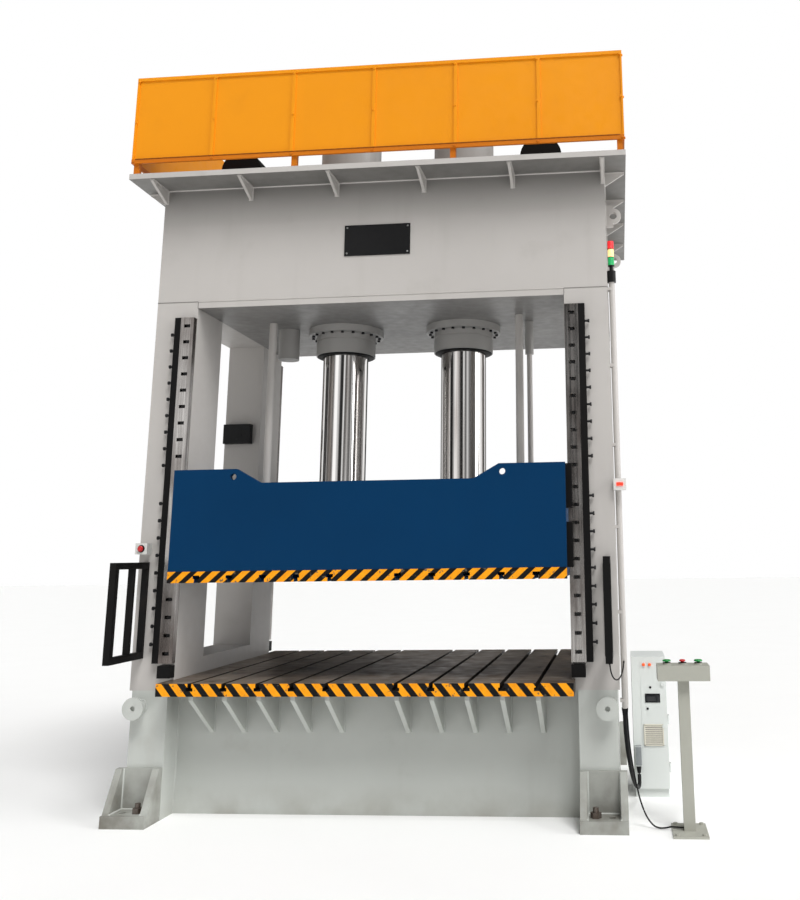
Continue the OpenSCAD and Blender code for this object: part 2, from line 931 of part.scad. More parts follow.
module manifold() {
    step = block_d / valve_n;
    z1 = deck_top + block_h;
    color("gray") {
        box(-block_w / 2, block_w / 2, -block_d / 2, block_d / 2, deck_top, z1);
        for (i = [0 : valve_n - 1]) {
            yc = -block_d / 2 + (i + 0.5) * step;
            box(-valve_d / 2, valve_d / 2, yc - valve_w / 2, yc + valve_w / 2, z1, z1 + valve_h);
            barrel_x(valve_d / 2, valve_d / 2 + coil_len, yc, z1 + valve_h / 2, coil_d);
            barrel_x(-valve_d / 2 - coil_len, -valve_d / 2, yc, z1 + valve_h / 2, coil_d);
        }
    }
}

module oil_pipes() {
    z = deck_top + pipe_z;
    xb = ram_x + barrel_d / 2;
    ye = motor_y + motor_len + bell_len + pump_len / 2;
    zt = deck_top + motor_z;
    tank_y = guard_y1 - tank_back - tank_d;
    px = motor_x - pump_d / 2;
    xe = xb + (px - xb) * pipe_mid_share;
    color("gray") sides() {
        barrel_y(block_w / 2 - pipe_d, block_d / 2, tank_y, z, pipe_d);
        barrel_x(xe, px, ye, zt, pipe_d);
        translate([xe, ye, zt])
            sphere(d = pipe_d);
        barrel_y(xe, ye, tank_y, zt, pipe_d);
        difference() {
            barrel_x(block_w / 2, ram_x, 0, z, pipe_d);
            post(ram_x, 0, z - pipe_d, z + pipe_d, barrel_d);
        }
    }
}

// a light-curtain frame standing out from the front of a leg
module curtain() {
    ym = hy + (cur_y - hy) * cur_mid_share;
    box(cur_x - cur_w / 2, cur_x + cur_w / 2, -cur_y, -cur_y + cur_w, cur_z0, cur_z1);
    for (z = [cur_z0, cur_z1 - cur_w])
        box(cur_x - cur_w / 2, cur_x + cur_w / 2, -cur_y, -hy, z, z + cur_w);
    box(cur_x - cur_w / 2, cur_x + cur_w / 2, -ym, -ym + cur_w / 2, cur_z0, cur_z1);
    box(cur_x - cur_w / 2, cur_x + cur_w / 2, -hy - cur_w / 2, -hy, cur_z0, cur_z1);
    box(cur_x - cur_w / 2 - cur_lens_t, cur_x - cur_w / 2, -cur_y + cur_w / 2 - cur_lens / 2,
        -cur_y + cur_w / 2 + cur_lens / 2, cur_z0 + cur_w, cur_z1 - cur_w);
}

module curtain_left() {
    color("black") mirror([1, 0, 0]) curtain();
}

module curtain_right() {
    color("black") curtain();
}

module conduit() {
    color("lightgray") {
        post(con_x, con_y, con_z0, con_z1, con_d);
        for (i = [0 : clip_n - 1])
            let (z = con_z0 + clip_h * 2 + i * (con_z1 - con_z0 - clip_h * 5) / (clip_n - 1))
                box(hx, con_x, con_y - con_d / 2, con_y + clip_w / 2, z, z + clip_h);
    }
}

module signal_tower() {
    z1 = con_z1 + tow_base_h;
    color("black") {
        post(con_x, con_y, con_z1, z1, tow_base);
        post(con_x, con_y, z1, z1 + tow_pole_h, tow_pole);
    }
}

module signal_lamps() {
    z1 = con_z1 + tow_base_h + tow_pole_h;
    color("red") post(con_x, con_y, z1, z1 + tow_lamp_h * 3, tow_d);
}

module estop_box() {
    color("gold") difference() {
        box(estop_x - box_w / 2, estop_x + box_w / 2, -hy - box_d, -hy, stop_z - box_h / 2, stop_z + box_h / 2);
        barrel_y(estop_x, -hy - box_d - over, -hy - box_d + stem_h + btn_press + btn_gap * 2, stop_z,
            stem_d + btn_play * 2);
    }
}

module meter_box() {
    y0 = con_y - con_d / 2 - box_d;
    color("lightgray") difference() {
        box(hx, hx + box_w, y0, con_y - con_d / 2, rocker_z - box_h / 2, rocker_z + box_h / 2);
        box(hx + box_w / 2 - rocker_w / 2 - btn_play, hx + box_w / 2 + rocker_w / 2 + btn_play, y0 - over,
            y0 + rocker_h, rocker_z - rocker_h / 2 - btn_play, rocker_z + rocker_h / 2 + btn_play);
    }
}

module reader_box() {
    color("black") {
        box(reader_x - reader_w / 2, reader_x + reader_w / 2, leg_y - reader_d, leg_y,
            reader_z - reader_h / 2, reader_z + reader_h / 2);
        barrel_y(reader_x, leg_y - reader_d - cur_lens_t, leg_y - reader_d, reader_z, reader_eye);
    }
}

module pedestal() {
    z1 = ped_h - console_h;
    color("lightgray") {
        box(ped_cx - ped_foot_w / 2, ped_cx + ped_foot_w / 2, -ped_y - ped_foot_d / 2, -ped_y + ped_foot_d / 2,
            0, ped_foot_t);
        box(ped_cx - ped_post / 2, ped_cx + ped_post / 2, -ped_y - ped_post / 2, -ped_y + ped_post / 2,
            ped_foot_t, z1);
        for (i = [-1, 1])
            for (j = [-1, 1])
                translate([ped_cx + i * (ped_foot_w / 2 - ped_bolt_in),
                    -ped_y + j * (ped_foot_d / 2 - ped_bolt_in), ped_foot_t])
                    cylinder(h = ped_bolt_h, d = ped_bolt_d * 2, $fn = 6);
    }
}

// places of the three buttons on the console
btn_xs = [ped_cx - btn_pitch, ped_cx, ped_cx + btn_pitch];

module console() {
    z0 = ped_h - console_h;
    color("lightgray") difference() {
        union() {
            box(ped_cx - console_w / 2, ped_cx + console_w / 2, -ped_y - console_d / 2, -ped_y + console_d / 2,
                z0, ped_h);
            for (x = btn_xs)
                post(x, -ped_y, ped_h, ped_h + collar_h, collar_d);
        }
        for (x = btn_xs)
            post(x, -ped_y, ped_h - btn_press - stem_h, ped_h + collar_h + over, stem_d + btn_play * 2);
    }
}

// a mushroom button standing on its stem at the origin, pushed along -Z
module mushroom() {
    post(0, 0, -stem_h, btn_press + btn_gap, stem_d);
    post(0, 0, btn_press + btn_gap, btn_press + btn_gap + mush_h, mush_d);
}

module button_left() {
    color("green") translate([btn_xs[0], -ped_y, ped_h + collar_h])
        mushroom();
}

module button_right() {
    color("green") translate([btn_xs[2], -ped_y, ped_h + collar_h])
        mushroom();
}

module button_stop() {
    color("red") translate([btn_xs[1], -ped_y, ped_h + collar_h])
        mushroom();
}

module estop_knob() {
    color("red") translate([estop_x, -hy - box_d, stop_z])
        rotate([90, 0, 0])
            mushroom();
}

module rocker() {
    y0 = con_y - con_d / 2 - box_d;
    color("red") box(hx + box_w / 2 - rocker_w / 2, hx + box_w / 2 + rocker_w / 2, y0 - rocker_out,
        y0 + rocker_h - rocker_out - btn_gap, rocker_z - rocker_h / 2, rocker_z + rocker_h / 2);
}

// the axis of the door's hinges, and their lower ends
hinge_x = cab_x + cab_w + hinge_off + hinge_d / 2;
hinge_y = cab_y - door_gap;
hinge_zs = [for (t = hinge_shares) cab_plinth + (cab_h - cab_plinth) * t];

module cabinet() {
    x1 = cab_x + cab_w;
    y1 = cab_y + cab_d;
    color("lightgray") {
        for (z = hinge_zs) {
            post(hinge_x, hinge_y, z + hinge_h + hinge_gap, z + hinge_h * 2, hinge_d);
            box(x1, hinge_x, cab_y, cab_y + hinge_leaf, z + hinge_h + hinge_gap, z + hinge_h * 2);
            box(x1, x1 + hinge_leaf, cab_y, cab_y + hinge_leaf_d, z + hinge_h + hinge_gap, z + hinge_h * 2);
        }
        difference() {
            box(cab_x, x1, cab_y, y1, cab_plinth, cab_h);
            box(cab_x + cab_wall, x1 - cab_wall, cab_y - over, y1 - cab_wall, cab_plinth + cab_wall, cab_h - cab_wall);
        }
        box(cab_x + cab_wall, x1 - cab_wall, cab_y + cab_wall, y1 - cab_wall, 0, cab_plinth);
        box(cab_x, cab_x + strip_w, cab_y - door_gap - door_t, cab_y + cab_wall, cab_plinth, cab_h);
        box(cab_x + strip_w / 2 - conn_w / 2, cab_x + strip_w / 2 + conn_w / 2, cab_y - door_gap - door_t - conn_d,
            cab_y - door_gap - door_t, conn_z - conn_h / 2, conn_z + conn_h / 2);
    }
}

module cabinet_door() {
    x1 = cab_x + cab_w;
    yf = cab_y - door_gap - door_t;
    yb = cab_y - door_gap;
    xc = cab_x + strip_w + (cab_w - strip_w) * 0.46;
    step = vent_h / vent_n;
    color("lightgray") difference() {
        union() {
            box(cab_x + strip_w + door_gap, x1, yf, yb, cab_plinth, cab_h);
            box(xc - window_w / 2, xc + window_w / 2, yf - bezel_t, yf, window_z - window_h / 2, window_z + window_h / 2);
            for (i = [0, 1])
                barrel_y(cab_x + strip_w + lamp_d * 1.3 + i * lamp_d * 2, yf - lamp_h, yf, lamp_z, lamp_d);
            barrel_y(x1 - handle_d, yf - handle_h, yf, cab_h * 0.5, handle_d);
            barrel_y(x1 - handle_d, yf - handle_h, yf, cab_h * 0.8, handle_d);
            for (z = hinge_zs) {
                post(hinge_x, hinge_y, z, z + hinge_h, hinge_d);
                box(x1 - hinge_leaf, hinge_x, yb - hinge_leaf, yb, z, z + hinge_h);
            }
        }
        for (i = [0 : vent_n - 1])
            let (z = vent_z - vent_h / 2 + i * step)
                box(xc - vent_w / 2, xc + vent_w / 2, yf - over, yb + over, z, z + vent_slit);
    }
}

module slide() {
    outline = [[-sl_hx, sl_bot], [sl_hx, sl_bot], [sl_hx, sl_top], [sl_hx - shoulder_w, sl_top],
        [sl_hx - shoulder_w - slope_w, sl_mid], [-sl_hx + shoulder_w + slope_w, sl_mid],
        [-sl_hx + shoulder_w, sl_top], [-sl_hx, sl_top]];
    inner = sl_hy - plate_t;
    step_x = body_hx * 2 / cell_nx;
    step_y = inner * 2 / cell_ny;
    color("navy") difference() {
        union() {
            box(-body_hx, body_hx, -inner, inner, sl_bot, sl_mid);
            ends() plate_y(sl_hy - plate_t / 2, plate_t, outline);
        }
        for (i = [0 : cell_nx - 1])
            for (j = [0, cell_ny - 1])
                box(-body_hx + i * step_x + web_t / 2, -body_hx + (i + 1) * step_x - web_t / 2,
                    -inner + j * step_y + web_t / 2, -inner + (j + 1) * step_y - web_t / 2,
                    sl_bot + floor_t, sl_mid + over);
        for (x = slot_xs)
            t_slot(x, sl_bot, -1, slide_d);
        sides() barrel_y(sl_hx - shoulder_w + lift_d / 2, -slide_d, slide_d, sl_top - lift_d * 1.2, lift_d);
    }
}

module slide_strips() {
    color("orange") ends()
        strip_at(-sl_hy, sl_bot, sl_bot + slide_strip_h, sl_hx, sl_bot, -1);
}

module slide_shoes() {
    sx = gib_in - shoe_play;
    yf = hy + gib_t + shoe_play;
    z1 = sl_top;
    color("black") corners()
        for (i = [0, 1])
            let (z = z1 - shoe_h - i * (shoe_h + shoe_gap)) {
                box(body_hx, gib_in + shoe_lap, yf, yf + shoe_t, z, z + shoe_h);
                box(body_hx, sx, hy + shoe_t / 8, yf, z, z + shoe_h);
            }
}

module rams() {
    color("silver") sides()
        post(ram_x, 0, sl_mid, ram_top, ram_d);
}

module ram_clamps() {
    color("gray") sides() {
        difference() {
            post(ram_x, 0, sl_mid, sl_mid + clamp_h, clamp_d);
            post(ram_x, 0, sl_mid - over, sl_mid + clamp_h + over, ram_d);
        }
        for (i = [0 : clamp_n - 1])
            translate([ram_x, 0, sl_mid + clamp_h])
                rotate([0, 0, i * 360 / clamp_n])
                    translate([clamp_pc / 2, 0, 0])
                        cylinder(h = cscrew_h, d = cscrew_d, $fn = 24);
    }
}

module lock_rods() {
    color("silver") {
        sides() post(rod_x, rod_y, sl_mid, rod_top, rod_d);
        post(slv_x, slv_y, sl_mid, rod_top, slv_rod);
    }
}

// unit vector and length helpers for a tube along route points
function unit(a) = a / norm(a);
function along(p, i) = unit(p[min(i + 1, len(p) - 1)] - p[max(i - 1, 0)]);

// a round cord swept along route points, as one closed polyhedron
module cord(route, d) {
    n = 10;
    rings = [for (i = [0 : len(route) - 1])
        let (t = along(route, i),
            side = unit(cross(t, [0.3, 0.2, 0.1] + [0, 0, 1] * (1 - abs(t[2])))),
            up = cross(side, t))
            [for (k = [0 : n - 1]) route[i] + d / 2 * (side * cos(k * 360 / n) + up * sin(k * 360 / n))]];
    pts = [for (r = rings) for (q = r) q];
    last = len(route) - 1;
    skin = [for (i = [0 : last - 1]) for (k = [0 : n - 1])
        [i * n + k, i * n + (k + 1) % n, (i + 1) * n + (k + 1) % n, (i + 1) * n + k]];
    polyhedron(points = pts, faces = concat(skin, [[for (k = [n - 1 : -1 : 0]) k]],
        [[for (k = [0 : n - 1]) last * n + k]]));
}

module curtain_lead() {
    color("black") cord(lead_route, lead_d);
}

module power_cable() {
    color("black") cord(thick_route, thick_d);
}

module pedestal_cable() {
    color("black") cord(thin_route, thin_d);
}

base();
feet();
jack_bolts();
trunnions();
bolster();
bolster_ribs();
bolster_strip();
upright_left();
upright_right();
crown();
tie_rods();
tie_nuts();
platform();
gussets();
lifting_lugs();
cylinders();
glands();
flange_screws();
gib_plates();
gib_bars();
gib_bolts();
gib_screws();
gib_stops();
buffers();
guard_front();
guard_left();
guard_right();
guard_rear();
guard_posts();
oil_tank();
motors();
pumps();
manifold();
oil_pipes();
curtain_left();
curtain_right();
conduit();
signal_tower();
signal_lamps();
estop_box();
meter_box();
reader_box();
pedestal();
console();
cabinet();
slide();
slide_strips();
slide_shoes();
rams();
ram_clamps();
lock_rods();
button_left();
button_right();
button_stop();
estop_knob();
rocker();
cabinet_door();
curtain_lead();
power_cable();
pedestal_cable();
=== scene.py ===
import math

import bmesh
import bpy
import numpy as np
from mathutils import Matrix


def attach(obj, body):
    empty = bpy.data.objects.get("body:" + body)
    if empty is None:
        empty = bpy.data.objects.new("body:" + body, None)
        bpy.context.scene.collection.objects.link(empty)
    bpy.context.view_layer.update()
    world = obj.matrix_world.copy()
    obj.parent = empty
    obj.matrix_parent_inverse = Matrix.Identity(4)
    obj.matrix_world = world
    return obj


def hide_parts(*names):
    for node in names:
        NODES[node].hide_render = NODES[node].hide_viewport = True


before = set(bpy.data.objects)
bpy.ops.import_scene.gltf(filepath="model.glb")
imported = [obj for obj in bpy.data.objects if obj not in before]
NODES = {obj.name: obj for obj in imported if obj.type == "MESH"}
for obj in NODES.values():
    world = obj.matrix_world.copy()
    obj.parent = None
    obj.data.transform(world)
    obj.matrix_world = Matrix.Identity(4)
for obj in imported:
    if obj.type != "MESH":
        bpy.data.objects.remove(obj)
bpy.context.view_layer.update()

# Sizes of the press in metres, as in the part's source.
HX, HY, LEG_IN = 1.670, 0.885, 1.358
BOLSTER_TOP, BOLSTER_LOW = 0.890, 0.810
UP_TOP, CROWN_LOW, CROWN_TOP = 3.560, 3.510, 4.445
BODY_Y, POST_IN = 0.700, 1.398
RAM_X, RAM_R, GLAND_Z, GLAND_R = 0.487, 0.180, 3.293, 0.237
LEDGE_TOP = 4.606
SLOT_PITCH, SLOT_COUNT = 0.230, 5
CONDUIT = (1.702, -0.840)


# The camera, solved from the photograph's straight edges.

PHOTO_W, PHOTO_H = 800.0, 900.0
FOCAL_PX, CENTRE_U, CENTRE_V = 938.18, 533.33, 352.47
EYE = (1.6980, -7.3675, 1.6851)
YAW, PITCH, ROLL = 0.0870, 0.2132, -0.0137
SENSOR, CLIP_END = 36.0, 200.0


def make_camera():
    """The photograph's camera: right, up and back vectors from yaw, pitch and roll, and the shift
    that puts the optical axis where the cropped photograph has it."""
    level = math.cos(PITCH)
    fw = np.array([-math.sin(YAW) * level, math.cos(YAW) * level, math.sin(PITCH)])
    rt = np.array([math.cos(YAW), math.sin(YAW), 0.0])
    up = np.cross(rt, fw)
    c, s = math.cos(ROLL), math.sin(ROLL)
    right, above = c * rt + s * up, c * up - s * rt
    cam = bpy.data.objects.new("camera", bpy.data.cameras.new("camera"))
    bpy.context.scene.collection.objects.link(cam)
    m = np.eye(4)
    m[:3, 0], m[:3, 1], m[:3, 2], m[:3, 3] = right, above, -fw, EYE
    cam.matrix_world = Matrix(m.tolist())
    cam.data.sensor_width = SENSOR
    cam.data.lens = FOCAL_PX * SENSOR / PHOTO_H
    cam.data.shift_x = (PHOTO_W / 2 - CENTRE_U) / PHOTO_H
    cam.data.shift_y = (CENTRE_V - PHOTO_H / 2) / PHOTO_H
    cam.data.clip_end = CLIP_END
    bpy.context.scene.camera = cam


make_camera()


# Materials. Several sockets of a Mix node share one name, so they go by number.

COLOUR_A, COLOUR_B, COLOUR_OUT = 6, 7, 2
BUMP_STRENGTH = 0.6


def lin(r, g, b):
    """An sRGB colour given from 0 to 255, as linear light with alpha."""
    v = np.array([r, g, b], float) / 255.0
    v = np.where(v <= 0.04045, v / 12.92, ((v + 0.055) / 1.055) ** 2.4)
    return (float(v[0]), float(v[1]), float(v[2]), 1.0)


class Finish:
    """A node material that grows from its principled shader: each method adds one layer to the colour,
    the roughness or the bump, and every pattern reads Object coordinates in metres."""

    def __init__(self, name, rgb, rough=0.45, metal=0.0):
        self.mat = bpy.data.materials.new(name)
        self.mat.use_nodes = True
        self.tree = self.mat.node_tree
        self.shader = self.tree.nodes["Principled BSDF"]
        self.where = self.tree.nodes.new("ShaderNodeTexCoord").outputs["Object"]
        self.colour = None
        self.base = lin(*rgb)
        self.height = None
        self.shader.inputs["Base Color"].default_value = self.base
        self.shader.inputs["Roughness"].default_value = rough
        self.shader.inputs["Metallic"].default_value = metal

    def add(self, kind, **sockets):
        """A new node with the named sockets set."""
        node = self.tree.nodes.new(kind)
        for key, value in sockets.items():
            node.inputs[key.replace("_", " ")].default_value = value
        return node

    def link(self, a, b):
        self.tree.links.new(a, b)

    def noise(self, scale, stretch=(1, 1, 1), detail=4.0, distort=0.0):
        """Fractal noise over the piece, its cells stretched by the given divisors of x, y and z."""
        place = self.add("ShaderNodeMapping")
        place.inputs["Scale"].default_value = stretch
        self.link(self.where, place.inputs["Vector"])
        tex = self.add("ShaderNodeTexNoise", Scale=scale, Detail=detail, Distortion=distort)
        self.link(place.outputs["Vector"], tex.inputs["Vector"])
        return tex.outputs["Fac"]

    def ramp(self, value, low, high, out_low=0.0, out_high=1.0):
        """A clamped straight ramp of a value."""
        node = self.add("ShaderNodeMapRange")
        ends = {"From Min": low, "From Max": high, "To Min": out_low, "To Max": out_high}
        for key, v in ends.items():
            node.inputs[key].default_value = v
        self.link(value, node.inputs["Value"])
        return node.outputs["Result"]

    def axis(self, name):
        """One coordinate of the point, in metres."""
        node = self.add("ShaderNodeSeparateXYZ")
        self.link(self.where, node.inputs["Vector"])
        return node.outputs[name]

    def math(self, op, a, b):
        """An arithmetic step on two values, each a number or a socket."""
        node = self.add("ShaderNodeMath")
        node.operation = op
        for socket, v in zip(node.inputs, (a, b)):
            if isinstance(v, (int, float)):
                socket.default_value = v
            else:
                self.link(v, socket)
        return node.outputs["Value"]

    def tint(self, mask, rgb):
        """Lays a colour over what is there, through a mask."""
        mix = self.tree.nodes.new("ShaderNodeMix")
        mix.data_type = "RGBA"
        self.link(mask, mix.inputs["Factor"])
        if self.colour is None:
            mix.inputs[COLOUR_A].default_value = self.base
        else:
            self.link(self.colour, mix.inputs[COLOUR_A])
        mix.inputs[COLOUR_B].default_value = lin(*rgb)
        self.colour = mix.outputs[COLOUR_OUT]
        self.link(self.colour, self.shader.inputs["Base Color"])
        return self

    def sheen_map(self, value):
        """Roughness from a value."""
        self.link(value, self.shader.inputs["Roughness"])
        return self

    def relief(self, value, depth):
        """Bump of the given depth in metres."""
        bump = self.add("ShaderNodeBump", Distance=depth, Strength=BUMP_STRENGTH)
        self.link(value, bump.inputs["Height"])
        if self.height is not None:
            self.link(self.height, bump.inputs["Normal"])
        self.height = bump.outputs["Normal"]
        self.link(self.height, self.shader.inputs["Normal"])
        return self


def painted(name, rgb, shade, dirt, rough=0.42, wear=0.3, gloss=0.5):
    """Sprayed paint: slow shade drift, faint vertical run-off streaks and blotches of shop dirt as
    strong as the wear, and an orange-peel skin."""
    f = Finish(name, rgb, rough)
    f.shader.inputs["Specular IOR Level"].default_value = gloss
    f.tint(f.ramp(f.noise(0.9), 0.35, 0.7), shade)
    f.tint(f.ramp(f.noise(7.0, (1, 1, 0.12), 5.0), 0.56, 0.80, 0.0, 0.5 * wear), dirt)
    f.tint(f.ramp(f.noise(3.2, detail=7.0), 0.60, 0.82, 0.0, wear), dirt)
    f.sheen_map(f.ramp(f.noise(14.0), 0.3, 0.7, rough - 0.06, rough + 0.10))
    return f.relief(f.noise(120.0, detail=2.0), 0.0004)


def grimed(f, z0, z1, rgb, strength=0.6):
    """Dirt that thickens towards the floor: a height ramp broken up by noise."""
    rise = f.ramp(f.axis("Z"), z0, z1, 1.0, 0.0)
    broken = f.math("MULTIPLY", rise, f.ramp(f.noise(5.0, detail=7.0), 0.3, 0.65))
    return f.tint(f.math("MULTIPLY", broken, strength), rgb)


def painted_shade_below(f, z, rgb, strength):
    """Painted shade on the faces below a height, laid into the colour: a step in height through cloudy
    noise.
    """
    below = f.math("LESS_THAN", f.axis("Z"), z)
    shade_mask = f.math("MULTIPLY", below, f.ramp(f.noise(2.0), 0.2, 0.6, 0.8, 1.0))
    return f.tint(f.math("MULTIPLY", shade_mask, strength), rgb)


def painted_shade_band(f, z0, z1, rgb, strength):
    """Painted shade that thickens with height between two levels, laid into the colour."""
    return f.tint(f.ramp(f.axis("Z"), z0, z1, 0.0, strength), rgb)


def steel(name, rgb, shade, rough, grain, bump=0.0003, metal=1.0):
    """Bare metal with a grain: noise stretched along the machining direction drives colour, gloss and
    bump."""
    f = Finish(name, rgb, rough, metal)
    lines = f.noise(60.0, grain, 6.0)
    f.tint(f.ramp(lines, 0.35, 0.7), shade)
    f.tint(f.ramp(f.noise(4.0, detail=6.0), 0.52, 0.75, 0.0, 0.6), shade)
    f.sheen_map(f.ramp(lines, 0.3, 0.7, max(rough - 0.08, 0.02), rough + 0.12))
    return f.relief(lines, bump)


def plastic(name, rgb, shade, rough, gloss=0.5):
    """Moulded plastic: faint cloudy tone and a fine spark-eroded skin."""
    f = Finish(name, rgb, rough)
    f.shader.inputs["Specular IOR Level"].default_value = gloss
    f.tint(f.ramp(f.noise(30.0), 0.35, 0.7, 0.0, 0.6), shade)
    f.sheen_map(f.ramp(f.noise(90.0), 0.3, 0.7, max(rough - 0.05, 0.05), rough + 0.1))
    return f.relief(f.noise(900.0, detail=2.0), 0.0001)


def striped(name, lean, period, share=0.53):
    """Slanted yellow and black bands: the fraction of (x + lean z) over the period, cut at a share,
    with the paint scuffed off in small chips."""
    f = Finish(name, (240, 158, 20), 0.5)
    f.shader.inputs["Specular IOR Level"].default_value = 0.15
    run = f.math("ADD", f.axis("X"), f.math("MULTIPLY", f.axis("Z"), lean))
    band = f.math("FRACT", f.math("DIVIDE", run, period), 0.0)
    f.tint(f.ramp(f.noise(20.0), 0.4, 0.7, 0.0, 0.7), (226, 138, 14))
    f.tint(f.math("GREATER_THAN", band, share), (12, 12, 13))
    f.tint(f.ramp(f.noise(34.0, detail=8.0), 0.64, 0.68, 0.0, 0.85), (88, 80, 68))
    f.sheen_map(f.ramp(f.noise(18.0), 0.3, 0.7, 0.4, 0.62))
    return f.relief(f.noise(70.0), 0.0004)


def table_top():
    """Planed table: straw-brown oil stain, dark patches, scratches along X and rust in the T-slots."""
    f = Finish("worn_table_steel", (158, 143, 128), 0.42, 0.7)
    scratch = f.noise(40.0, (0.08, 1.0, 1.0), 8.0)
    f.tint(f.ramp(f.noise(2.4, detail=8.0), 0.40, 0.66), (112, 96, 82))
    f.tint(f.ramp(scratch, 0.55, 0.70, 0.0, 0.6), (188, 182, 172))
    f.tint(f.ramp(f.noise(7.0, detail=8.0), 0.58, 0.74, 0.0, 0.8), (58, 50, 42))
    f.tint(f.ramp(f.axis("Z"), BOLSTER_TOP - 0.0015, BOLSTER_TOP - 0.0005, 1.0, 0.0), (62, 56, 50))
    f.sheen_map(f.ramp(f.noise(9.0), 0.3, 0.7, 0.28, 0.6))
    return f.relief(scratch, 0.0005)


def chrome_ram():
    """Hard chrome: near-mirror with drawn oil streaks down the stroke."""
    f = Finish("hard_chrome", (222, 220, 218), 0.05, 1.0)
    streak = f.noise(26.0, (1, 1, 0.02), 6.0)
    f.tint(f.ramp(streak, 0.48, 0.72, 0.0, 0.7), (128, 116, 108))
    return f.sheen_map(f.ramp(streak, 0.35, 0.75, 0.03, 0.16))


def greasy_rail():
    """Ground guide plate: fine upright grain under brown smears of grease that gather between the
    strokes."""
    f = steel("ground_rail", (186, 183, 180), (140, 136, 133), 0.24, (1, 1, 0.03))
    f.tint(f.ramp(f.noise(3.0, (1, 1, 0.5), 6.0), 0.40, 0.60, 0.0, 0.8), (88, 78, 73))
    return f


def glow(f, rgb, strength):
    """Light from inside the piece."""
    f.shader.inputs["Emission Color"].default_value = lin(*rgb)
    f.shader.inputs["Emission Strength"].default_value = strength
    return f


def clear_lens(name, rgb, shade, light):
    """Ribbed lamp lens in tinted plastic, faintly lit."""
    return glow(plastic(name, rgb, shade, 0.18), rgb, light)


GREY = ((184, 180, 176), (178, 174, 170), (148, 142, 135))
BASE_GREY = ((186, 189, 184), (179, 182, 177), (146, 143, 134))
FEET_GREY = ((168, 170, 164), (158, 160, 154), (128, 124, 114))
ORANGE = ((229, 145, 11), (224, 139, 8), (198, 122, 16))
# Heights over which the crown darkens towards the deck above it: painted shade.
DECK_SHADE_Z = (4.14, 4.42)
UNDERSIDE = 0.0015
FINISH = {
    "frame": painted("frame_grey_paint", *GREY),
    # The crown's colour holds painted shade: darker towards the deck above it and on its underside, where
    # shade falls.
    "crown": painted_shade_below(painted_shade_band(painted("crown_grey_with_painted_shade", *GREY), *DECK_SHADE_Z, (80, 79, 76), 0.72),
                         CROWN_LOW + UNDERSIDE, (98, 97, 95), 0.8),
    # The platform's underside is darkened: painted shade.
    "platform": painted_shade_below(painted("platform_grey_with_painted_shade", *GREY), CROWN_TOP + UNDERSIDE,
                            (92, 91, 88), 0.85),
    "cylinder": painted("cylinder_grey_paint", (158, 156, 153), (148, 146, 143), (120, 116, 110)),
    "base": grimed(painted("base_grey_paint", *BASE_GREY, 0.45, 0.35), 0.0, 0.20,
                   (122, 114, 100), 0.4),
    "feet": grimed(painted("feet_grey_paint", *FEET_GREY, 0.5, 0.5), 0.0, 0.48, (92, 86, 76), 0.95),
    "slide": painted("slide_blue_paint", (1, 49, 86), (1, 46, 81), (10, 53, 85),
                     0.46, 0.35, 0.08),
    # The guard is darkened below its ledge top: painted shade on its lower ledge.
    "guard": painted_shade_below(painted("guard_orange_with_painted_shade", *ORANGE, 0.42, 0.2, 0.25),
                         LEDGE_TOP + 0.0005, (190, 102, 8), 0.95),
    # Painted shadow: the dark orange of the lines along the guard's folds and its lower ledge.
    "guard_shade_lines": painted("guard_painted_shadow", (138, 74, 8), (124, 66, 7), (108, 60, 10),
                          0.5, 0.2, 0.2),
    "stud": steel("rusty_stud_steel", (112, 104, 98), (78, 66, 56), 0.45, (1, 1, 0.3),
                  0.0003, 0.6),
    "bolster_strip": striped("table_stripes", 0.85, 0.107),
    "slide_strip": striped("slide_stripes", -1.1, 0.104),
    "table": table_top(),
    "rail": greasy_rail(),
    "chrome": chrome_ram(),
    "turned": steel("turned_steel", (150, 150, 148), (116, 116, 114), 0.32, (1, 1, 0.2)),
    "dark": steel("oiled_black_steel", (46, 46, 47), (30, 30, 31), 0.42, (1, 1, 1), 0.0002, 0.7),
    "black": painted("black_enamel", (15, 14, 14), (12, 12, 12), (44, 39, 35), 0.5, 0.4, 0.12),
    "pump": painted("pump_blue_paint", (66, 110, 146), (56, 96, 130), (70, 76, 78)),
    "console": painted("console_beige_paint", (166, 166, 156), (159, 159, 149), (134, 131, 119),
                       0.5, 0.25),
    "cabinet": painted("cabinet_grey_paint", (216, 220, 217), (208, 212, 209), (176, 178, 174),
                       0.5, 0.2),
    "box": plastic("box_grey_plastic", (214, 214, 210), (200, 200, 196), 0.45),
    "black_plastic": plastic("black_plastic", (17, 17, 18), (12, 12, 13), 0.4, 0.2),
    "green": plastic("button_green", (22, 140, 62), (16, 118, 52), 0.28),
    "red": plastic("button_red", (196, 30, 34), (168, 22, 26), 0.28),
    "lit_red": glow(plastic("lit_key_red", (222, 40, 28), (190, 30, 24), 0.3),
                    (255, 60, 34), 1.2),
    "lens_red": clear_lens("lens_red", (226, 32, 38), (200, 24, 30), 0.5),
    "lens_amber": clear_lens("lens_amber", (255, 226, 160), (246, 196, 96), 0.5),
    "lens_green": clear_lens("lens_green", (14, 158, 86), (10, 132, 70), 0.4),
    "lens_orange": clear_lens("lens_orange", (238, 92, 36), (214, 72, 26), 0.3),
    "rubber": plastic("cable_rubber", (17, 17, 18), (26, 26, 26), 0.58, 0.2),
    "weld": painted("painted_weld", (188, 184, 180), (176, 172, 168), (146, 140, 133)),
    "seam": painted("seam_shadow", (122, 120, 116), (104, 102, 98), (80, 78, 74), 0.6),
    "beige": plastic("grille_beige_plastic", (208, 204, 190), (196, 192, 178), 0.5),
    "screen": plastic("display_glass", (22, 24, 27), (30, 33, 38), 0.12),
    "hood": plastic("hood_grey_plastic", (128, 132, 134), (112, 116, 118), 0.4),
}

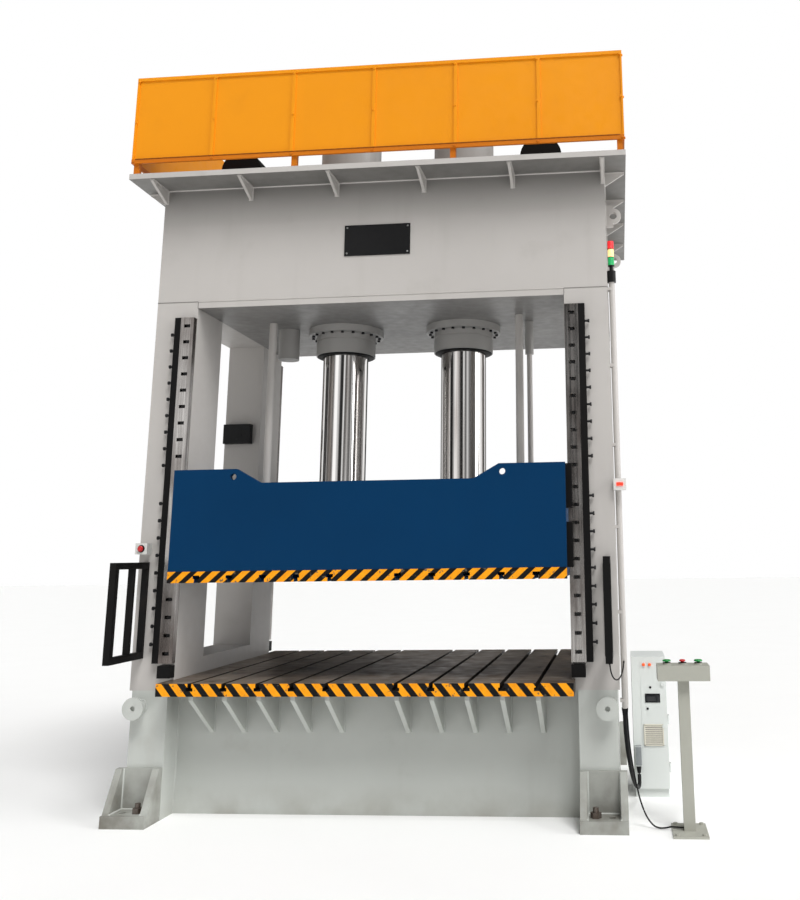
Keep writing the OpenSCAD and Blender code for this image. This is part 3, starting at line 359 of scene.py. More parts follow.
NODE_FINISH = {
    "frame": ("upright_left", "upright_right", "gussets", "lifting_lugs", "conduit", "lock_rods"),
    "crown": ("crown",),
    "platform": ("platform",),
    "cylinder": ("cylinders", "glands", "buffers"),
    "base": ("base", "trunnions", "bolster_ribs"),
    "feet": ("feet",),
    "slide": ("slide",),
    "guard": ("guard_front", "guard_left", "guard_right", "guard_rear", "guard_posts"),
    "bolster_strip": ("bolster_strip",),
    "slide_strip": ("slide_strips",),
    "table": ("bolster",),
    "rail": ("gib_plates",),
    "chrome": ("rams",),
    "turned": ("pumps", "manifold", "oil_pipes", "ram_clamps"),
    "stud": ("jack_bolts",),
    "dark": ("tie_rods", "tie_nuts", "flange_screws", "gib_bolts", "gib_screws"),
    # The motors wear the black enamel as painted shade: their black stands for the shade in the narrow gap
    # under the guard.
    "black": ("gib_bars", "gib_stops", "curtain_left", "curtain_right", "slide_shoes", "motors"),
    "pump": ("oil_tank",),
    "console": ("pedestal", "console"),
    "cabinet": ("cabinet", "cabinet_door"),
    "box": ("estop_box", "meter_box"),
    "black_plastic": ("signal_tower", "reader_box"),
    "green": ("button_left", "button_right"),
    "red": ("button_stop", "estop_knob"),
    "lit_red": ("rocker",),
    "lens_red": ("signal_lamps",),
    "rubber": ("curtain_lead", "power_cable", "pedestal_cable"),
}
for key, names in NODE_FINISH.items():
    for node_name in names:
        NODES[node_name].data.materials.clear()
        NODES[node_name].data.materials.append(FINISH[key].mat)


# Surfaces: each returns (points, quads), or a list of such pairs.

MERGE, SLIVER = 1e-6, 1e-7


def grid_faces(rows, cols, wrap_rows=False, wrap_cols=False):
    """Quads of a rows by cols grid of points numbered row by row, closed round where asked."""
    i, j = np.meshgrid(np.arange(rows if wrap_rows else rows - 1),
                       np.arange(cols if wrap_cols else cols - 1), indexing="ij")
    i, j = i.ravel(), j.ravel()
    k, l = (i + 1) % rows, (j + 1) % cols
    return np.stack([i * cols + j, i * cols + l, k * cols + l, k * cols + j], axis=1)


def piece(name, parts, finish, body, smooth=True, stands_for=()):
    """One mesh object from a list of (points, quads) surfaces, riding on a body; points that meet are
    merged, so seams and poles are closed."""
    points, quads, start = [], [], 0
    for p, q in parts:
        points.append(np.asarray(p, float).reshape(-1, 3))
        quads.append(np.asarray(q) + start)
        start += len(points[-1])
    points, quads = np.concatenate(points), np.concatenate(quads)
    mesh = bpy.data.meshes.new(name)
    mesh.from_pydata(points.tolist(), [], quads.tolist())
    shell = bmesh.new()
    shell.from_mesh(mesh)
    bmesh.ops.remove_doubles(shell, verts=shell.verts, dist=MERGE)
    bmesh.ops.dissolve_degenerate(shell, edges=shell.edges, dist=SLIVER)
    bmesh.ops.recalc_face_normals(shell, faces=shell.faces)
    shell.to_mesh(mesh)
    shell.free()
    mesh.polygons.foreach_set("use_smooth", np.full(len(mesh.polygons), smooth))
    mesh.materials.append(FINISH[finish].mat)
    mesh.update()
    obj = bpy.data.objects.new(name, mesh)
    bpy.context.scene.collection.objects.link(obj)
    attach(obj, body)
    if stands_for:
        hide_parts(*stands_for)
    return obj


# For each axis: two directions across it, and the axis itself.
AXES = {"x": ((0, 1, 0), (0, 0, 1), (1, 0, 0)), "y": ((0, 0, 1), (1, 0, 0), (0, 1, 0)),
        "z": ((1, 0, 0), (0, 1, 0), (0, 0, 1)), "-y": ((1, 0, 0), (0, 0, 1), (0, -1, 0)),
        "-z": ((0, 1, 0), (1, 0, 0), (0, 0, -1)), "-x": ((0, 0, 1), (0, 1, 0), (-1, 0, 0))}


def turned(profile, centre, axis="z", count=32, corners=0):
    """A profile of (radius, height) points carried round an axis; with corners set, the radius follows
    a polygon of that many sides, r / cos(angle to the nearest flat)."""
    u, v, w = (np.array(a, float) for a in AXES[axis])
    prof = np.asarray(profile, float)
    angle = np.linspace(0, 2 * np.pi, count, endpoint=False)
    reach = np.ones(count)
    if corners:
        part = 2 * np.pi / corners
        reach = 1.0 / np.cos((angle + part / 2) % part - part / 2)
    out = np.cos(angle)[:, None] * u + np.sin(angle)[:, None] * v
    p = (np.asarray(centre, float) + prof[:, 1][:, None, None] * w
         + prof[:, 0][:, None, None] * (out * reach[:, None])[None])
    return p, grid_faces(len(prof), count, wrap_cols=True)


STEEP, LINE_POINTS = 0.9, 3


def swept(path, section):
    """A closed section of (across, above) points carried along a path; the frame at each point comes
    from the path's direction and the nearest upright, and both ends are capped by pulling the section
    to a point."""
    path, section = np.asarray(path, float), np.asarray(section, float)
    ahead = np.gradient(path, axis=0)
    ahead /= np.linalg.norm(ahead, axis=1)[:, None]
    steep = np.abs(ahead[:, 2:3]) > STEEP
    hint = np.where(steep, np.array([[0.0, 1.0, 0.0]]), np.array([[0.0, 0.0, 1.0]]))
    side = np.cross(ahead, hint)
    side /= np.linalg.norm(side, axis=1)[:, None]
    up = np.cross(side, ahead)
    if section.ndim == 2:
        section = np.repeat(section[None], len(path), axis=0)
    p = path[:, None] + section[:, :, :1] * side[:, None] + section[:, :, 1:] * up[:, None]
    ends = [np.repeat(path[k][None, None], section.shape[1], axis=1) for k in (0, -1)]
    p = np.concatenate([ends[0], p, ends[1]], axis=0)
    return p, grid_faces(len(p), section.shape[1], wrap_cols=True)[:, ::-1]


def round_section(sides):
    """The corners of a polygon of the given number of sides, on a circle of radius 1."""
    angle = np.arange(sides) * 2 * np.pi / sides
    return np.stack([np.cos(angle), np.sin(angle)], axis=1)


BEAD_SIDES, BEAD_RIPPLE = 6, 0.18


def weld(a, b, leg=0.009, pitch=0.009):
    """A weld bead from a to b: a hexagonal bead whose size ripples once per pitch."""
    a, b = np.asarray(a, float), np.asarray(b, float)
    steps = max(int(np.linalg.norm(b - a) / (pitch / 2)), 4)
    t = np.linspace(0, 1, steps)
    wave = np.abs(np.sin(np.arange(steps) * np.pi / 2))
    size = leg * (1 - BEAD_RIPPLE + BEAD_RIPPLE * wave)
    return swept(a + (b - a) * t[:, None], size[:, None, None] * round_section(BEAD_SIDES)[None])


def soft_block(low, high, radius, steps=3):
    """A block with rounded edges: a grid on each face of the box, each point drawn to the inner box
    grown by the radius (inner point plus radius times the unit offset)."""
    low, high = np.asarray(low, float), np.asarray(high, float)
    parts = []
    for k in range(3):
        a, b = (k + 1) % 3, (k + 2) % 3
        for end in (0, 1):
            rim = radius * (1 - np.cos(np.linspace(0, np.pi / 2, steps + 1)))
            line = [np.concatenate([low[n] + rim, high[n] - rim[::-1]]) for n in (a, b)]
            g, h = np.meshgrid(line[0], line[1], indexing="ij")
            p = np.zeros(g.shape + (3,))
            p[..., a], p[..., b] = g, h
            p[..., k] = high[k] if end else low[k]
            inner = np.clip(p, low + radius, high - radius)
            off = p - inner
            far = np.linalg.norm(off, axis=-1, keepdims=True)
            p = inner + radius * off / np.maximum(far, 1e-9)
            q = grid_faces(g.shape[0], g.shape[1])
            parts.append((p, q[:, ::-1] if end else q))
    return parts


HEAD_FLAT, HEAD_TOP, HEAD_POINTS, HEAD_SIDES = 0.8, 0.9, 12, 6


def hex_head(centre, axis, across, height):
    """A hexagon head with a chamfer: polygon rings that draw in a little over the last of the height."""
    r = across / 2
    profile = [(0, 0), (r, 0), (r, height * HEAD_FLAT), (r * HEAD_TOP, height), (0, height)]
    return turned(profile, centre, axis, HEAD_POINTS, HEAD_SIDES)


def ring(profile, centre, axis, count=40):
    """A closed profile carried round an axis, as a ring with no ends."""
    p, _ = turned(profile, centre, axis, count)
    return p, grid_faces(len(profile), count, wrap_rows=True, wrap_cols=True)


# Cords.

ROUTE_STEPS, CORD_STEPS, CORD_SIDES = 12, 90, 14


def smooth_route(points, count):
    """Catmull-Rom curve through given points, resampled at even steps of its length."""
    p = np.asarray(points, float)
    ext = np.concatenate([2 * p[:1] - p[1:2], p, 2 * p[-1:] - p[-2:-1]])
    t = np.linspace(0, 1, ROUTE_STEPS, endpoint=False)[None, :, None]
    a, b, c, d = (ext[k:len(ext) - 3 + k][:, None] for k in range(4))
    curve = 0.5 * (2 * b + (c - a) * t + (2 * a - 5 * b + 4 * c - d) * t ** 2
                   + (3 * b - a - 3 * c + d) * t ** 3)
    curve = np.concatenate([curve.reshape(-1, 3), p[-1:]])
    run = np.concatenate([[0], np.cumsum(np.linalg.norm(np.diff(curve, axis=0), axis=1))])
    even = np.linspace(0, run[-1], count)
    return np.stack([np.interp(even, run, curve[:, k]) for k in range(3)], axis=1), float(run[-1])


def fitted(points, first, last):
    """Listed points moved so that the run goes from first to last, as in the part's source."""
    p = np.asarray(points, float)
    t = np.linspace(0, 1, len(p))[:, None]
    return p + (np.asarray(first) - p[0]) * (1 - t) + (np.asarray(last) - p[-1]) * t


LEAD = [(1.612, -1.150, 1.030), (1.613, -1.149, 1.000), (1.618, -1.140, 0.960), (1.628, -1.115, 0.928),
        (1.642, -1.075, 0.908), (1.658, -1.020, 0.902), (1.674, -0.960, 0.914), (1.686, -0.908, 0.940),
        (1.693, -0.876, 0.972), (1.695, -0.866, 1.000)]
THICK = [(1.690, -0.836, 0.700), (1.690, -0.836, 0.650), (1.692, -0.829, 0.580), (1.697, -0.810, 0.500),
         (1.706, -0.774, 0.410), (1.718, -0.715, 0.320), (1.732, -0.635, 0.240), (1.746, -0.540, 0.178),
         (1.760, -0.440, 0.136), (1.772, -0.370, 0.114), (1.780, -0.305, 0.110), (1.784, -0.255, 0.122),
         (1.785, -0.218, 0.154), (1.785, -0.204, 0.190), (1.785, -0.203, 0.220)]
THIN = [(1.706, -0.851, 0.700), (1.707, -0.852, 0.650), (1.711, -0.857, 0.560), (1.719, -0.866, 0.460),
        (1.734, -0.878, 0.350), (1.754, -0.892, 0.240), (1.780, -0.908, 0.140), (1.812, -0.924, 0.066),
        (1.850, -0.940, 0.022), (1.885, -0.952, 0.009), (1.925, -0.966, 0.012), (1.960, -0.978, 0.022),
        (1.988, -0.990, 0.024), (2.014, -1.001, 0.025), (2.040, -1.003, 0.026)]


def make_cord(name, points, first, last, diameter, stiffness, lay):
    """A round tube swept along the smoothed route; the route's length is measured."""
    path, length = smooth_route(fitted(points, first, last), CORD_STEPS)
    section = diameter / 2 * round_section(CORD_SIDES)
    obj = piece(name + "_sleeve", [swept(path, section)], "rubber", "frame",
                stands_for=(name,))


LEAD_ENDS = (1.612, -1.150, 1.0295), (CONDUIT[0], -0.866, 1.000)
THICK_ENDS = (CONDUIT[0] - 0.005, -0.836, 0.6995), (1.785, -0.2008, 0.2195)
THIN_ENDS = (CONDUIT[0] + 0.011, -0.851, 0.6995), (2.0397, -1.003, 0.026)
LEAD_D, THICK_D, THIN_D = 0.009, 0.026, 0.010
make_cord("curtain_lead", LEAD, *LEAD_ENDS, LEAD_D, "medium", "hanging")
make_cord("power_cable", THICK, *THICK_ENDS, THICK_D, "stiff", "hanging")
make_cord("pedestal_cable", THIN, *THIN_ENDS, THIN_D, "medium", "loose")


# Buttons and the emergency stop. Profiles are (radius, height) points.

CONSOLE_TOP, BUTTON_Y = 1.002, -1.010
BUTTONS = (("button_left", 1.975, "green", "green_plastic"), ("button_stop", 2.075, "red", "red_plastic"),
           ("button_right", 2.175, "green", "green_plastic"))
CAP = [(0, -0.016), (0.0110, -0.016), (0.0110, 0.0090), (0.0192, 0.0090), (0.0200, 0.0105),
       (0.0200, 0.0130), (0.0192, 0.0160), (0.0165, 0.0188), (0.0110, 0.0204), (0.0050, 0.0210),
       (0, 0.0210)]
WIDE_CAP = [(0, -0.016), (0.0110, -0.016), (0.0110, 0.0088), (0.0256, 0.0088), (0.0268, 0.0102),
            (0.0270, 0.0130), (0.0258, 0.0168), (0.0215, 0.0196), (0.0130, 0.0208), (0, 0.0212)]
COLLAR = [(0.0122, -0.0008), (0.0258, -0.0008), (0.0262, 0.0006), (0.0244, 0.0022), (0.0150, 0.0022),
          (0.0122, 0.0008)]
STOP_AT = (-1.626, -0.955, 1.768)

for name, x, key, slot_name in BUTTONS:
    cap, at = WIDE_CAP if key == "green" else CAP, (x, BUTTON_Y, CONSOLE_TOP)
    piece(name + "_cap", [turned(cap, at, "z")], key, name, stands_for=(name,))
    piece(name + "_collar", [ring(COLLAR, at, "z")], "black_plastic", "frame")
piece("estop_knob_cap", [turned(CAP, STOP_AT, "-y")], "red", "estop_knob",
      stands_for=("estop_knob",))
piece("estop_collar", [ring(COLLAR, STOP_AT, "-y")], "black_plastic", "frame")


# Signal tower: three lenses, each on a black joint.

LAMP_LOW, LAMP_H, LAMP_R = 3.724, 0.062, 0.023
LENS_UP, LENS_SHORT = 0.003, 0.001
LENS_RIBS, RIB_STEPS, RIB_DEPTH = 7, 6, 0.0006
JOINT = [(0, -0.001), (0.0238, -0.001), (0.0240, 0.001), (0.0238, 0.0035), (0, 0.0035)]


def lens(z0, z1, r):
    """A lamp lens: a cylinder whose radius swells and shrinks once per rib, closed at both ends."""
    z = np.linspace(z0, z1, LENS_RIBS * RIB_STEPS + 1)
    turn = (z - z0) / (z1 - z0) * LENS_RIBS * 2 * np.pi
    wall = np.stack([r - RIB_DEPTH + RIB_DEPTH * np.cos(turn), z], axis=1)
    return np.concatenate([[(0, z0)], wall, [(0, z1)]])


for k, key in enumerate(("lens_green", "lens_amber", "lens_red")):
    low = LAMP_LOW + k * LAMP_H
    shape = lens(low + LENS_UP, low + LAMP_H - LENS_SHORT, LAMP_R)
    piece("signal_" + key, [turned(shape, (*CONDUIT, 0), "z")], key, "frame",
          stands_for=("signal_lamps",) if k == 0 else ())
    piece("signal_joint_%d" % k, [turned(JOINT, (*CONDUIT, low), "z")], "black_plastic", "frame")


# Bare plate on the crown, with a rivet in each corner.

PLATE_X, PLATE_Y, PLATE_Z = (-0.262, 0.233), (-0.8925, -0.8845), (3.866, 4.104)
PLATE_ROUND, RIVET_IN = 0.003, 0.02
RIVET = [(0, 0), (0.0075, 0), (0.0072, 0.002), (0.0050, 0.0038), (0, 0.0045)]
piece("crown_plate", soft_block(*zip(PLATE_X, PLATE_Y, PLATE_Z), PLATE_ROUND), "black_plastic", "frame")
piece("crown_plate_rivets", [turned(RIVET, (x, PLATE_Y[0], z), "-y", count=16)
                             for x in (PLATE_X[0] + RIVET_IN, PLATE_X[1] - RIVET_IN)
                             for z in (PLATE_Z[0] + RIVET_IN, PLATE_Z[1] - RIVET_IN)],
      "turned", "frame")


# Cabinet door: display, grille, lamps, locks and hinge pins.

DOOR_Y, DOOR_MID = -0.1708, 1.9001
GRILLE_LOW, GRILLE_HIGH, GRILLE_HALF = 0.345, 0.491, 0.071
GRILLE_BAR, GRILLE_DEPTH, BAR_ROUND = 0.010, 0.008, 0.002
SLAT_COUNT, SLAT_END, SLAT_OUT = 9, 0.018, 0.0042
SLAT = [(-0.0032, 0.0050), (0.0026, -0.0036), (0.0032, -0.0030), (-0.0026, 0.0056)]

# Blocks on the door: half width, lower and upper height, front and back from its face, rounding.
BEZEL = (0.054, 0.638, 0.699, -0.0045, 0.001, 0.0018)
GLASS = (0.046, 0.646, 0.691, -0.0052, -0.002, 0.0005)
GRILLE_BACK = (0.064, GRILLE_LOW + 0.007, GRILLE_HIGH - 0.007, -0.0012, 0.001, 0.0005)


def door_block(half, z0, z1, front, back, rounding):
    """A rounded block across the middle of the door's face."""
    low, high = (DOOR_MID - half, DOOR_Y + front, z0), (DOOR_MID + half, DOOR_Y + back, z1)
    return soft_block(low, high, rounding)


def grille():
    """A frame of four rounded bars round level slats, each slat a tilted flat section carried across."""
    x0, x1 = DOOR_MID - GRILLE_HALF, DOOR_MID + GRILLE_HALF
    bars = ((x0, x0 + GRILLE_BAR, GRILLE_LOW, GRILLE_HIGH),
            (x1 - GRILLE_BAR, x1, GRILLE_LOW, GRILLE_HIGH),
            (x0, x1, GRILLE_LOW, GRILLE_LOW + GRILLE_BAR),
            (x0, x1, GRILLE_HIGH - GRILLE_BAR, GRILLE_HIGH))
    parts = []
    for a, b, low, high in bars:
        parts += soft_block((a, DOOR_Y - GRILLE_DEPTH, low), (b, DOOR_Y, high), BAR_ROUND)
    for z in np.linspace(GRILLE_LOW + SLAT_END, GRILLE_HIGH - SLAT_END, SLAT_COUNT):
        ends = [(x, DOOR_Y - SLAT_OUT, z) for x in (x0 + GRILLE_BAR / 2, x1 - GRILLE_BAR / 2)]
        parts.append(swept(np.linspace(*ends, LINE_POINTS), SLAT))
    return parts


piece("display_bezel", door_block(*BEZEL), "black_plastic", "cabinet_door")
piece("display_glass", door_block(*GLASS), "screen", "cabinet_door")
piece("grille_back", door_block(*GRILLE_BACK), "black_plastic", "cabinet_door")
piece("cabinet_grille", grille(), "beige", "cabinet_door", smooth=False)

DOME = [(0, 0), (0.0118, 0), (0.0118, 0.0070), (0.0105, 0.0100), (0.0065, 0.0120), (0, 0.0125)]
DOME_XS, DOME_Z = (1.8436, 1.8436 + 0.044), 0.899
LOCK = [(0, 0), (0.0085, 0), (0.0085, 0.0030), (0.0075, 0.0042), (0.0030, 0.0042), (0.0026, 0.0025),
        (0, 0.0025)]
LOCKS_AT = ((1.862, 0.596), (1.886, 0.742))
PIN_HEAD = [(0, 0), (0.0050, 0), (0.0050, 0.0020), (0.0042, 0.0034), (0.0020, 0.0042), (0, 0.0043)]
HINGE_AT, HINGE_TOPS = (2.008, -0.1508), (0.2274, 0.5496, 0.8718)
piece("cabinet_lamps", [turned(DOME, (x, DOOR_Y, DOME_Z), "-y", count=24) for x in DOME_XS], "lens_orange",
      "cabinet_door")
piece("cabinet_locks", [turned(LOCK, (x, DOOR_Y, z), "-y", count=20) for x, z in LOCKS_AT], "dark",
      "cabinet_door")
piece("hinge_pins", [turned(PIN_HEAD, (*HINGE_AT, z), "z", count=20) for z in HINGE_TOPS], "turned",
      "frame")


# Plug hood on the cabinet, and the tapered reliefs of the cords: x, y, z, cord radius, length.

HOOD_LOW, HOOD_HIGH, HOOD_ROUND = (1.7610, -0.2322, 0.2196), (1.8090, -0.1700, 0.3515), 0.008
RELIEF_WIDE, RELIEF_TAPER, RELIEF_RIPPLE, RELIEF_RINGS = 1.55, 0.5, 0.06, 5
RELIEF_STEPS, RELIEF_LIP = 41, 0.6
RELIEFS = ((*THICK_ENDS[0][:2], 0.702, THICK_D / 2, 0.050),
           (*THICK_ENDS[1][:2], 0.222, THICK_D / 2, 0.040),
           (*THIN_ENDS[0][:2], 0.702, THIN_D / 2, 0.030),
           (*LEAD_ENDS[0][:2], 1.031, LEAD_D / 2, 0.028))


def relief(x, y, z, r, length):
    """A tapered, ribbed cable relief hanging from z: the radius falls to the cord's with five small
    rings."""
    t = np.linspace(0, 1, RELIEF_STEPS)
    ripple = RELIEF_RIPPLE * r * np.cos(t * RELIEF_RINGS * 2 * np.pi)
    wall = np.stack([r * (RELIEF_WIDE - RELIEF_TAPER * t) + ripple, t * length], axis=1)
    prof = np.concatenate([[(0, 0)], wall, [(r * RELIEF_LIP, length)]])
    return turned(prof, (x, y, z), "-z", count=20)


piece("plug_hood", soft_block(HOOD_LOW, HOOD_HIGH, HOOD_ROUND), "hood", "frame")
piece("cord_reliefs", [relief(*row) for row in RELIEFS], "black_plastic", "frame")


# Wiper rings of the plungers.

WIPER = [(RAM_R + 0.0015, 0), (GLAND_R - 0.008, 0), (GLAND_R - 0.010, -0.005), (RAM_R + 0.014, -0.007),
         (RAM_R + 0.005, -0.010), (RAM_R + 0.0015, -0.004)]
piece("ram_wipers", [ring(WIPER[::-1], (s * RAM_X, 0, GLAND_Z), "z", count=64) for s in (-1, 1)],
      "rubber", "frame")


# Guard: bolts along its rails, and painted shadow lines: thin dark strips along its folds and its lower
# ledge, where their shade falls.

GUARD_Y0, GUARD_Y1, GUARD_X = -1.123, 1.273, 1.826
GUARD_BOLT_Z, FRONT_BOLTS, SIDE_BOLTS = (4.588, 4.905, 5.236), 7, 5
FRONT_BOLT_IN, SIDE_BOLT_IN = 0.014, 0.008
LEDGE_PROUD, FOLD_PROUD = 0.018, 0.014
BOLT_ACROSS, BOLT_H = 0.017, 0.007
FOLD_HALF, FOLD_TOP, FOLD_LINE, FOLD_LINE_OUT = 0.0135, 5.228, 0.0016, 0.001
LEDGE_LINE, LEDGE_LINE_Z, LEDGE_LINE_IN, LINE_PITCH = 0.0045, 4.604, 0.03, 0.05
GUARD_SIDES = ((-1, GUARD_Y0), (1, GUARD_Y1))

guard_bolts, guard_shadow_lines = [], []
for z in GUARD_BOLT_Z:
    proud = LEDGE_PROUD if z < LEDGE_TOP else FOLD_PROUD
    for x in np.linspace(-GUARD_X + FRONT_BOLT_IN, GUARD_X - FRONT_BOLT_IN, FRONT_BOLTS):
        guard_bolts.append(hex_head((x, GUARD_Y0 - proud, z), "-y", BOLT_ACROSS, BOLT_H))
        guard_bolts.append(hex_head((x, GUARD_Y1 + proud, z), "y", BOLT_ACROSS, BOLT_H))
    for y in np.linspace(GUARD_Y0 + SIDE_BOLT_IN, GUARD_Y1 - SIDE_BOLT_IN, SIDE_BOLTS):
        guard_bolts.append(hex_head((GUARD_X, y, z), "x", BOLT_ACROSS, BOLT_H))
        guard_bolts.append(hex_head((-GUARD_X, y, z), "-x", BOLT_ACROSS, BOLT_H))
# A thin dark bead down both edges of each fold, as painted shadow.
for x in np.linspace(-GUARD_X, GUARD_X, FRONT_BOLTS)[1:-1]:
    for side, y in GUARD_SIDES:
        face = y + side * FOLD_LINE_OUT
        for edge in (x - FOLD_HALF, x + FOLD_HALF):
            foot, head = (edge, face, LEDGE_TOP), (edge, face, FOLD_TOP)
            guard_shadow_lines.append(weld(foot, head, FOLD_LINE, LINE_PITCH))
# A thin dark bead along the lower ledge, as painted shadow.
for side, y in GUARD_SIDES:
    ends = [(s * (GUARD_X - LEDGE_LINE_IN), y + side * LEDGE_PROUD, LEDGE_LINE_Z) for s in (-1, 1)]
    guard_shadow_lines.append(weld(*ends, LEDGE_LINE, LINE_PITCH))
piece("guard_bolts", guard_bolts, "guard", "frame", smooth=False)
piece("guard_shadow_lines", guard_shadow_lines, "guard_shade_lines", "frame")


# Welds of the frame and of the base, and the joint lines between crown and uprights.

GUSSET_HALF, GUSSET_LOW, GUSSET_SHORT = 0.010, 4.339, 0.014
GUSSET_XS, GUSSET_YS = np.linspace(-1.660, 1.660, 6), np.linspace(-0.825, 0.825, 4)
DECK_Y0, DECK_Y1, DECK_X = -1.145, 1.295, 1.830
LUG_Y, LUG_HALF, LUG_LOW, LUG_HIGH = 0.56, 0.018, 4.120, 4.290
RIB_HALF, RIB_LOW, RIB_OUT, RIB_BEAD = 0.015, 0.522, 1.068, 0.007
POST_LOW = 0.002
FOOT_XS, FOOT_Y0, FOOT_Y1, FOOT_PLATE, FOOT_TOP = (1.446, 1.656), 0.909, 1.068, 0.075, 0.328
TRUNNION_X, TRUNNION_Z = 1.588, 0.716
TRUNNION_BEAD = [(0.045, 0), (0.052, 0), (0.051, 0.005), (0.045, 0.008)]
CROWN_BEAD, SEAM_SIZE = 0.005, 0.0022
RIB_XS = [s * k * SLOT_PITCH for k in range(1, SLOT_COUNT + 1) for s in (-1, 1)]


def seam_line(a, b):
    """A thin joint line between two castings: a small square section carried from a to b."""
    square = SEAM_SIZE * np.array([(1, 1), (-1, 1), (-1, -1), (1, -1)], float)
    return swept(np.linspace(np.asarray(a, float), np.asarray(b, float), LINE_POINTS), square)


frame_welds, base_welds, seams = [], [], []
for x in GUSSET_XS:
    for edge in (x - GUSSET_HALF, x + GUSSET_HALF):
        for y, tip in ((-HY, DECK_Y0 + GUSSET_SHORT), (HY, DECK_Y1 - GUSSET_SHORT)):
            frame_welds.append(weld((edge, y, GUSSET_LOW), (edge, y, CROWN_TOP)))
            frame_welds.append(weld((edge, y, CROWN_TOP), (edge, tip, CROWN_TOP)))
for y in GUSSET_YS:
    for edge in (y - GUSSET_HALF, y + GUSSET_HALF):
        for s in (-1, 1):
            tip = s * (DECK_X - GUSSET_SHORT)
            frame_welds.append(weld((s * HX, edge, GUSSET_LOW), (s * HX, edge, CROWN_TOP)))
            frame_welds.append(weld((s * HX, edge, CROWN_TOP), (tip, edge, CROWN_TOP)))
for s in (-1, 1):
    for y in (-LUG_Y, LUG_Y):
        for edge in (y - LUG_HALF, y + LUG_HALF):
            frame_welds.append(weld((s * HX, edge, LUG_LOW), (s * HX, edge, LUG_HIGH)))
    frame_welds.append(weld((s * HX, -HY, CROWN_TOP), (s * HX, HY, CROWN_TOP)))
    frame_welds.append(weld((-HX, s * HY, CROWN_TOP), (HX, s * HY, CROWN_TOP)))
    for x in RIB_XS:
        for edge in (x - RIB_HALF, x + RIB_HALF):
            corner = (edge, s * BODY_Y, BOLSTER_LOW)
            base_welds.append(weld((edge, s * BODY_Y, RIB_LOW), corner))
            base_welds.append(weld(corner, (edge, s * RIB_OUT, BOLSTER_LOW), RIB_BEAD))
    for t in (-1, 1):
        post_x, post_y = s * POST_IN, t * BODY_Y
        base_welds.append(weld((post_x, post_y, POST_LOW), (post_x, post_y, BOLSTER_LOW)))
        corners = [(s * x, t * FOOT_Y0, FOOT_PLATE) for x in FOOT_XS]
        for corner in corners:
            base_welds.append(weld(corner, (corner[0], t * FOOT_Y1, FOOT_PLATE)))
            base_welds.append(weld(corner, (corner[0], t * FOOT_Y0, FOOT_TOP)))
        base_welds.append(weld(*corners))
        base_welds.append(ring(TRUNNION_BEAD, (s * TRUNNION_X, t * HY, TRUNNION_Z),
                               "y" if t > 0 else "-y", count=48))
        inner, outer = (s * LEG_IN, t * HY, UP_TOP), (s * HX, t * HY, UP_TOP)
        seams.append(seam_line(inner, outer))
        seams.append(seam_line((s * LEG_IN, t * HY, CROWN_LOW), inner))
        frame_welds.append(weld((0, t * HY, UP_TOP), inner, CROWN_BEAD))
    seams.append(seam_line((s * HX, -HY, UP_TOP), (s * HX, HY, UP_TOP)))
piece("base_welds", base_welds, "base", "frame")
piece("frame_welds", frame_welds, "weld", "frame")
piece("crown_seams", seams, "seam", "frame", smooth=False)


# Floor and light. HALL gives the light and dark bands that mirrors meet.

FLOOR_HALF = 60.0
WORLD_LIGHT = 0.33
HALL_NOISE = {"Scale": 1.7, "Detail": 4.0}
HALL_RANGE = {"From Min": 0.46, "From Max": 0.60, "To Min": 0.02, "To Max": 1.3}
MIX_FACTOR, MIX_A, MIX_B, MIX_OUT = 0, 2, 3, 0


def make_stage():
    """A pale plain floor as a large quad."""
    floor = Finish("pale_floor", (250, 250, 249), 0.6)
    floor.tint(floor.ramp(floor.noise(1.2), 0.4, 0.7, 0.0, 0.5), (247, 247, 246))
    mesh = bpy.data.meshes.new("floor")
    corners = [(FLOOR_HALF * x, FLOOR_HALF * y, 0.0) for x, y in ((-1, -1), (1, -1), (1, 1), (-1, 1))]
    mesh.from_pydata(corners, [], [(0, 1, 2, 3)])
    mesh.materials.append(floor.mat)
    obj = bpy.data.objects.new("floor", mesh)
    bpy.context.scene.collection.objects.link(obj)


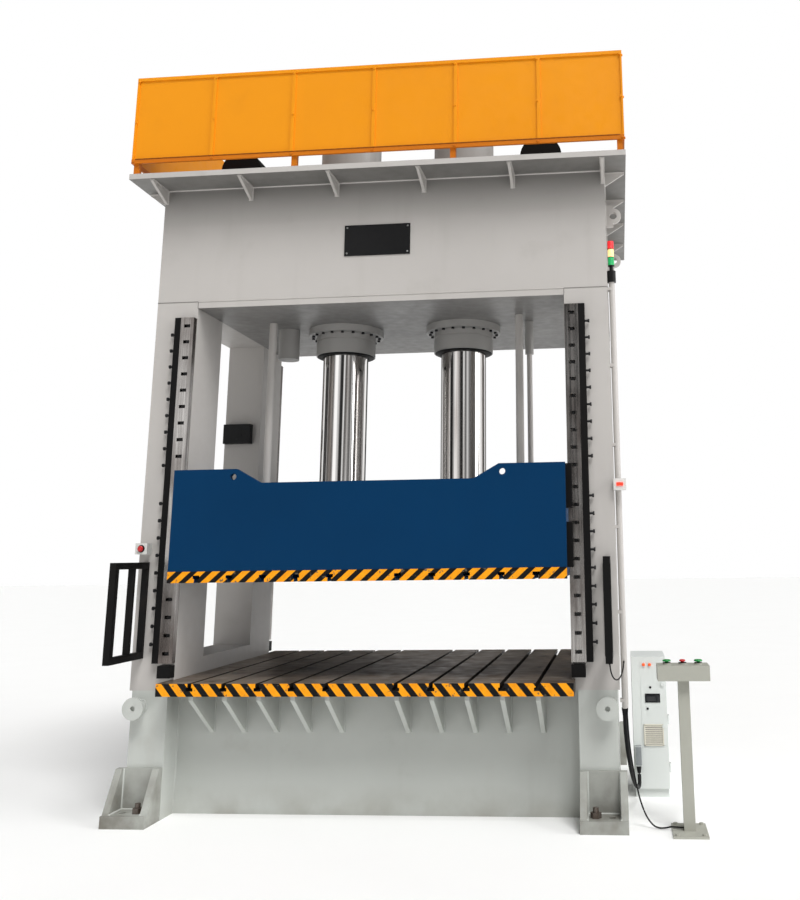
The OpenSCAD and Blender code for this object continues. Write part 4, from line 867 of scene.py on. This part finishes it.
def soft_sun(name, travel, spread, strength):
    """A wide, even light from far off that travels along a direction."""
    data = bpy.data.lights.new(name, "SUN")
    data.angle, data.energy = math.radians(spread), strength
    obj = bpy.data.objects.new(name, data)
    bpy.context.scene.collection.objects.link(obj)
    back = -np.asarray(travel, float) / np.linalg.norm(travel)
    side = np.cross((0, 0, 1), back)
    side /= np.linalg.norm(side)
    m = np.eye(4)
    m[:3, 0], m[:3, 1], m[:3, 2] = side, np.cross(back, side), back
    obj.matrix_world = Matrix(m.tolist())


def make_world():
    """White surroundings whose light is weaker than their look. Mirror rays meet upright light and dark
    bands, noise along the compass angle, as bright metal does in a hall."""
    world = bpy.data.worlds.new("studio")
    bpy.context.scene.world = world
    bpy.context.scene.view_settings.view_transform = "Standard"
    world.use_nodes = True
    tree = world.node_tree
    back = tree.nodes["Background"]
    back.inputs["Color"].default_value = (1.0, 1.0, 1.0, 1.0)

    def node(kind, sockets=()):
        made = tree.nodes.new(kind)
        for key, value in dict(sockets).items():
            made.inputs[key].default_value = value
        return made

    path = node("ShaderNodeLightPath")
    split = node("ShaderNodeSeparateXYZ")
    tree.links.new(node("ShaderNodeTexCoord").outputs["Generated"], split.inputs["Vector"])
    turn = node("ShaderNodeMath")
    turn.operation = "ARCTAN2"
    tree.links.new(split.outputs["Y"], turn.inputs[0])
    tree.links.new(split.outputs["X"], turn.inputs[1])
    bands = node("ShaderNodeTexNoise", HALL_NOISE)
    bands.noise_dimensions = "1D"
    tree.links.new(turn.outputs["Value"], bands.inputs["W"])
    hall = node("ShaderNodeMapRange", HALL_RANGE)
    tree.links.new(bands.outputs["Fac"], hall.inputs["Value"])
    mirror = node("ShaderNodeMix", {MIX_A: WORLD_LIGHT})
    tree.links.new(path.outputs["Is Glossy Ray"], mirror.inputs[MIX_FACTOR])
    tree.links.new(hall.outputs["Result"], mirror.inputs[MIX_B])
    seen = node("ShaderNodeMix", {MIX_B: 1.0})
    tree.links.new(path.outputs["Is Camera Ray"], seen.inputs[MIX_FACTOR])
    tree.links.new(mirror.outputs[MIX_OUT], seen.inputs[MIX_A])
    tree.links.new(seen.outputs[MIX_OUT], back.inputs["Strength"])


make_stage()
soft_sun("key", (-0.28, 0.50, -0.85), 24.0, 2.5)
soft_sun("fill", (-0.90, 0.22, -0.30), 40.0, 1.5)
make_world()
